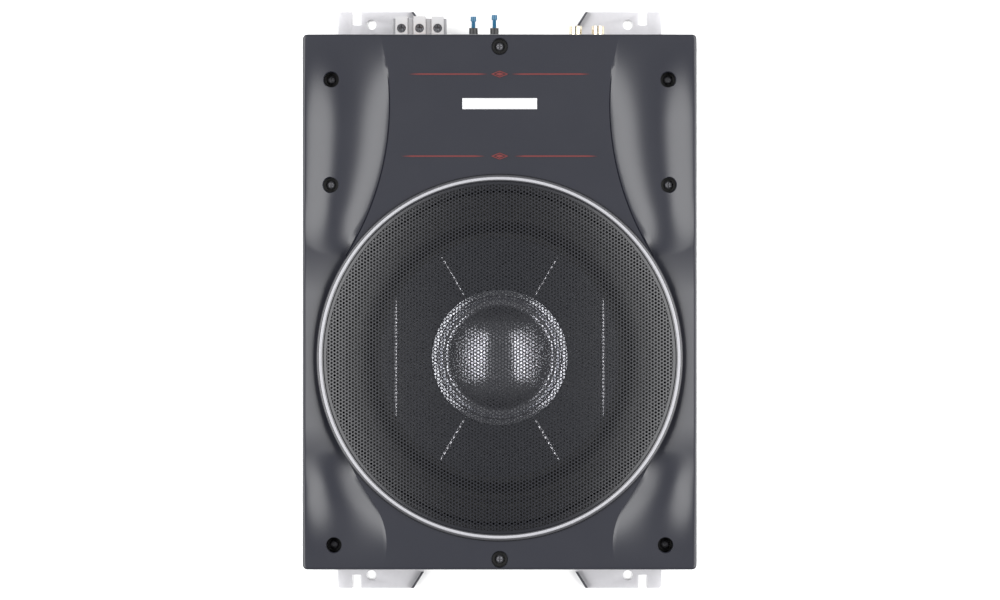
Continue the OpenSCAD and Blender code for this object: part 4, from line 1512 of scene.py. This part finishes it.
def finish_inside():
    """Materials of the motor, the frame and the amplifier's parts, which keep their CAD shapes."""
    finishes = {
        "woofer_basket": black_steel, "yoke": raw_steel, "magnet": ferrite, "top_plate": raw_steel,
        "voice_coil_former": former_film, "voice_coil": copper_wire,
        "woofer_terminals": phenolic, "speaker_leads": pvc_red, "amplifier_board": solder_mask,
        "board_standoffs": nylon, "heat_sink_bar": mill_aluminium, "power_transistors": black_plastic,
        "filter_capacitors": sleeve_blue, "toroid_core": ferrite, "toroid_winding": copper_wire,
    }
    for node, mat in finishes.items():
        paint_node(node, mat())


# ---- stage ----


def area_light(name, place, target, size_x, size_y, power):
    data = bpy.data.lights.new(name, "AREA")
    data.shape = "RECTANGLE"
    data.size = size_x
    data.size_y = size_y
    data.energy = power
    obj = bpy.data.objects.new(name, data)
    obj.location = place
    obj.rotation_euler = (Vector(target) - Vector(place)).to_track_quat("-Z", "Y").to_euler()
    obj.visible_camera = False
    bpy.context.scene.collection.objects.link(obj)


def make_stage():
    """Pale floor, soft boxes at both sides, an even sky and the camera straight above."""
    props = bpy.context.scene.sub_stage
    scene = bpy.context.scene
    floor_half, below = 6, 0.2 * MM
    bm = bmesh.new()
    bmesh.ops.create_grid(bm, x_segments=8, y_segments=8, size=floor_half)
    bmesh.ops.translate(bm, verts=bm.verts, vec=(0, 0, -below))
    mesh = bpy.data.meshes.new("floor")
    bm.to_mesh(mesh)
    bm.free()
    floor = new_object("floor", mesh)
    floor.data.materials.append(material(
        "pale_floor", (0.9, 0.9, 0.9), (0.88, 0.88, 0.88), rough=0.8, scale=3, bump=0, spread=0.02,
    ))
    world = bpy.data.worlds.new("studio")
    world.use_nodes = True
    sky = world.node_tree.nodes["Background"]
    sky.inputs["Color"].default_value = (1, 1, 1, 1)
    sky.inputs["Strength"].default_value = props.sky
    scene.world = world
    aim = (0, 0, 0.05)
    for name, side, power in (("left", -1, props.left_power), ("right", 1, props.right_power)):
        area_light("soft_box_" + name, (side * 1.5, 0.1, 1.45), aim, 3.0, 1.8, power)
    data = bpy.data.cameras.new("camera")
    data.sensor_width = 36
    distance = props.camera_distance
    data.lens = data.sensor_width * distance / props.frame_width
    data.clip_end = 50
    camera = bpy.data.objects.new("camera", data)
    camera.location = (0.0002, 0, PANEL_Z + distance)
    bpy.context.scene.collection.objects.link(camera)
    scene.camera = camera
    scene.view_settings.view_transform = "Standard"


# ---- add-on ----


def length_prop(name, description, default, low, high):
    return bpy.props.FloatProperty(
        name=name, description=description, default=default, min=low, max=high,
        subtype="DISTANCE", unit="LENGTH", precision=5,
    )


def power_prop(name, description):
    return bpy.props.FloatProperty(
        name=name, description=description, default=110, min=0, max=2000, unit="POWER",
    )


def colour_prop(name, description, default):
    return bpy.props.FloatVectorProperty(
        name=name, description=description, default=default, size=3, min=0, max=1, subtype="COLOR",
    )


class CabinetSizes(bpy.types.PropertyGroup):
    """Sizes and paint of the cast cover."""

    paint: colour_prop("Paint", "Colour of the cast cover", (0.0075, 0.0083, 0.0142))
    scoop_depth: length_prop("Scoop depth", "Depth of the hollows below the panel", 7.8 * MM, 2 * MM, 10 * MM)
    groove_width: length_prop(
        "Groove width", "Width of the fine groove along the crease", 0.8 * MM, 0.2 * MM, 2 * MM,
    )
    edge_radius: length_prop(
        "Edge radius", "Rounding of the cover's upper edges", 1.6 * MM, 0.3 * MM, 2.9 * MM,
    )
    wall: length_prop("Wall", "Thickness of the side walls", 2.5 * MM, 1 * MM, 4 * MM)


class GrilleSizes(bpy.types.PropertyGroup):
    """Sizes and paint of the perforated dome."""

    paint: colour_prop("Paint", "Colour of the mesh", (0.005, 0.0054, 0.0085))
    pitch: length_prop("Pitch", "Distance between neighbouring holes", 2.22 * MM, 2.1 * MM, 6 * MM)
    hole: length_prop("Hole", "Width of a hole across its corners", 1.72 * MM, 0.5 * MM, 5 * MM)
    thickness: length_prop("Thickness", "Thickness of the sheet", 0.8 * MM, 0.3 * MM, 2 * MM)
    rim_width: length_prop("Rim width", "Width of the plain rim", 1.9 * MM, 1 * MM, 10 * MM)


class WooferSizes(bpy.types.PropertyGroup):
    """Sizes of the cone's pressed facets."""

    facet_span: length_prop(
        "Facet span", "Distance across the flats of the six facets", 130.8 * MM, 90 * MM, 150 * MM,
    )
    cap_rise: length_prop("Cap rise", "Height of the dust cap's dome", 12.2 * MM, 4 * MM, 18 * MM)
    rib_width: length_prop("Rib width", "Width of the bright ribs", 2.2 * MM, 0.4 * MM, 3 * MM)


class StageSettings(bpy.types.PropertyGroup):
    """Light and camera."""

    sky: bpy.props.FloatProperty(
        name="Sky", description="Brightness of the even sky", default=0.3, min=0, max=5,
    )
    left_power: power_prop("Left box", "Power of the left soft box")
    right_power: power_prop("Right box", "Power of the right soft box")
    camera_distance: length_prop("Camera distance", "Camera height above the panel", 4.0, 1.0, 20.0)
    frame_width: length_prop("Frame width", "Width of the view at the panel's height", 0.629, 0.3, 2.0)


class SUBWOOFER_OT_cover(bpy.types.Operator):
    """Make the cast cover, its screws and their washers"""

    bl_idname = "subwoofer.cover"
    bl_label = "Cover"

    def execute(self, context):
        make_cover()
        make_cover_screws()
        return {"FINISHED"}


class SUBWOOFER_OT_ring(bpy.types.Operator):
    """Make the trim ring and its bright band"""

    bl_idname = "subwoofer.ring"
    bl_label = "Trim Ring"

    def execute(self, context):
        make_trim_ring()
        return {"FINISHED"}


class SUBWOOFER_OT_grille(bpy.types.Operator):
    """Make the perforated dome"""

    bl_idname = "subwoofer.grille"
    bl_label = "Grille"

    def execute(self, context):
        make_grille()
        return {"FINISHED"}


class SUBWOOFER_OT_panel_trim(bpy.types.Operator):
    """Make the pin stripes and the badge"""

    bl_idname = "subwoofer.panel_trim"
    bl_label = "Panel Trim"

    def execute(self, context):
        make_panel_trim()
        return {"FINISHED"}


class SUBWOOFER_OT_woofer(bpy.types.Operator):
    """Make the cone, cap, surround, spider, tinsel leads and basket screws"""

    bl_idname = "subwoofer.woofer"
    bl_label = "Woofer"

    def execute(self, context):
        make_cone()
        make_dust_cap()
        make_suspension()
        make_basket_screws()
        return {"FINISHED"}


class SUBWOOFER_OT_brackets(bpy.types.Operator):
    """Make the four floor brackets"""

    bl_idname = "subwoofer.brackets"
    bl_label = "Brackets"

    def execute(self, context):
        make_brackets()
        return {"FINISHED"}


class SUBWOOFER_OT_connectors(bpy.types.Operator):
    """Make the connector panel, terminals, controls and jacks"""

    bl_idname = "subwoofer.connectors"
    bl_label = "Connectors"

    def execute(self, context):
        make_connectors()
        return {"FINISHED"}


class SUBWOOFER_OT_inside(bpy.types.Operator):
    """Make the tray and finish the motor and the amplifier"""

    bl_idname = "subwoofer.inside"
    bl_label = "Tray and Inside"

    def execute(self, context):
        make_tray()
        finish_inside()
        return {"FINISHED"}


class SUBWOOFER_OT_stage(bpy.types.Operator):
    """Make the floor, lights and camera"""

    bl_idname = "subwoofer.stage"
    bl_label = "Stage"

    def execute(self, context):
        make_stage()
        return {"FINISHED"}


OPERATORS = (
    SUBWOOFER_OT_stage, SUBWOOFER_OT_cover, SUBWOOFER_OT_ring, SUBWOOFER_OT_grille,
    SUBWOOFER_OT_panel_trim, SUBWOOFER_OT_woofer, SUBWOOFER_OT_brackets,
    SUBWOOFER_OT_connectors, SUBWOOFER_OT_inside,
)
SETTINGS = {
    "sub_cabinet": CabinetSizes, "sub_grille": GrilleSizes,
    "sub_woofer": WooferSizes, "sub_stage": StageSettings,
}


class SUBWOOFER_PT_panel(bpy.types.Panel):
    """Sizes and steps of the subwoofer"""

    bl_label = "Subwoofer"
    bl_idname = "SUBWOOFER_PT_panel"
    bl_space_type = "VIEW_3D"
    bl_region_type = "UI"
    bl_category = "Subwoofer"

    def draw(self, context):
        for key, group in SETTINGS.items():
            settings = getattr(context.scene, key)
            column = self.layout.column(align=True)
            for name in group.__annotations__:
                column.prop(settings, name)
        for operator in OPERATORS:
            self.layout.operator(operator.bl_idname)


CLASSES = (*SETTINGS.values(), *OPERATORS, SUBWOOFER_PT_panel)


def register():
    for cls in CLASSES:
        bpy.utils.register_class(cls)
    for key, group in SETTINGS.items():
        setattr(bpy.types.Scene, key, bpy.props.PointerProperty(type=group))


def unregister():
    for key in SETTINGS:
        delattr(bpy.types.Scene, key)
    for cls in reversed(CLASSES):
        bpy.utils.unregister_class(cls)


def main():
    register()
    for operator in OPERATORS:
        group, name = operator.bl_idname.split(".")
        getattr(getattr(bpy.ops, group), name)()


if __name__ == "__main__":
    main()
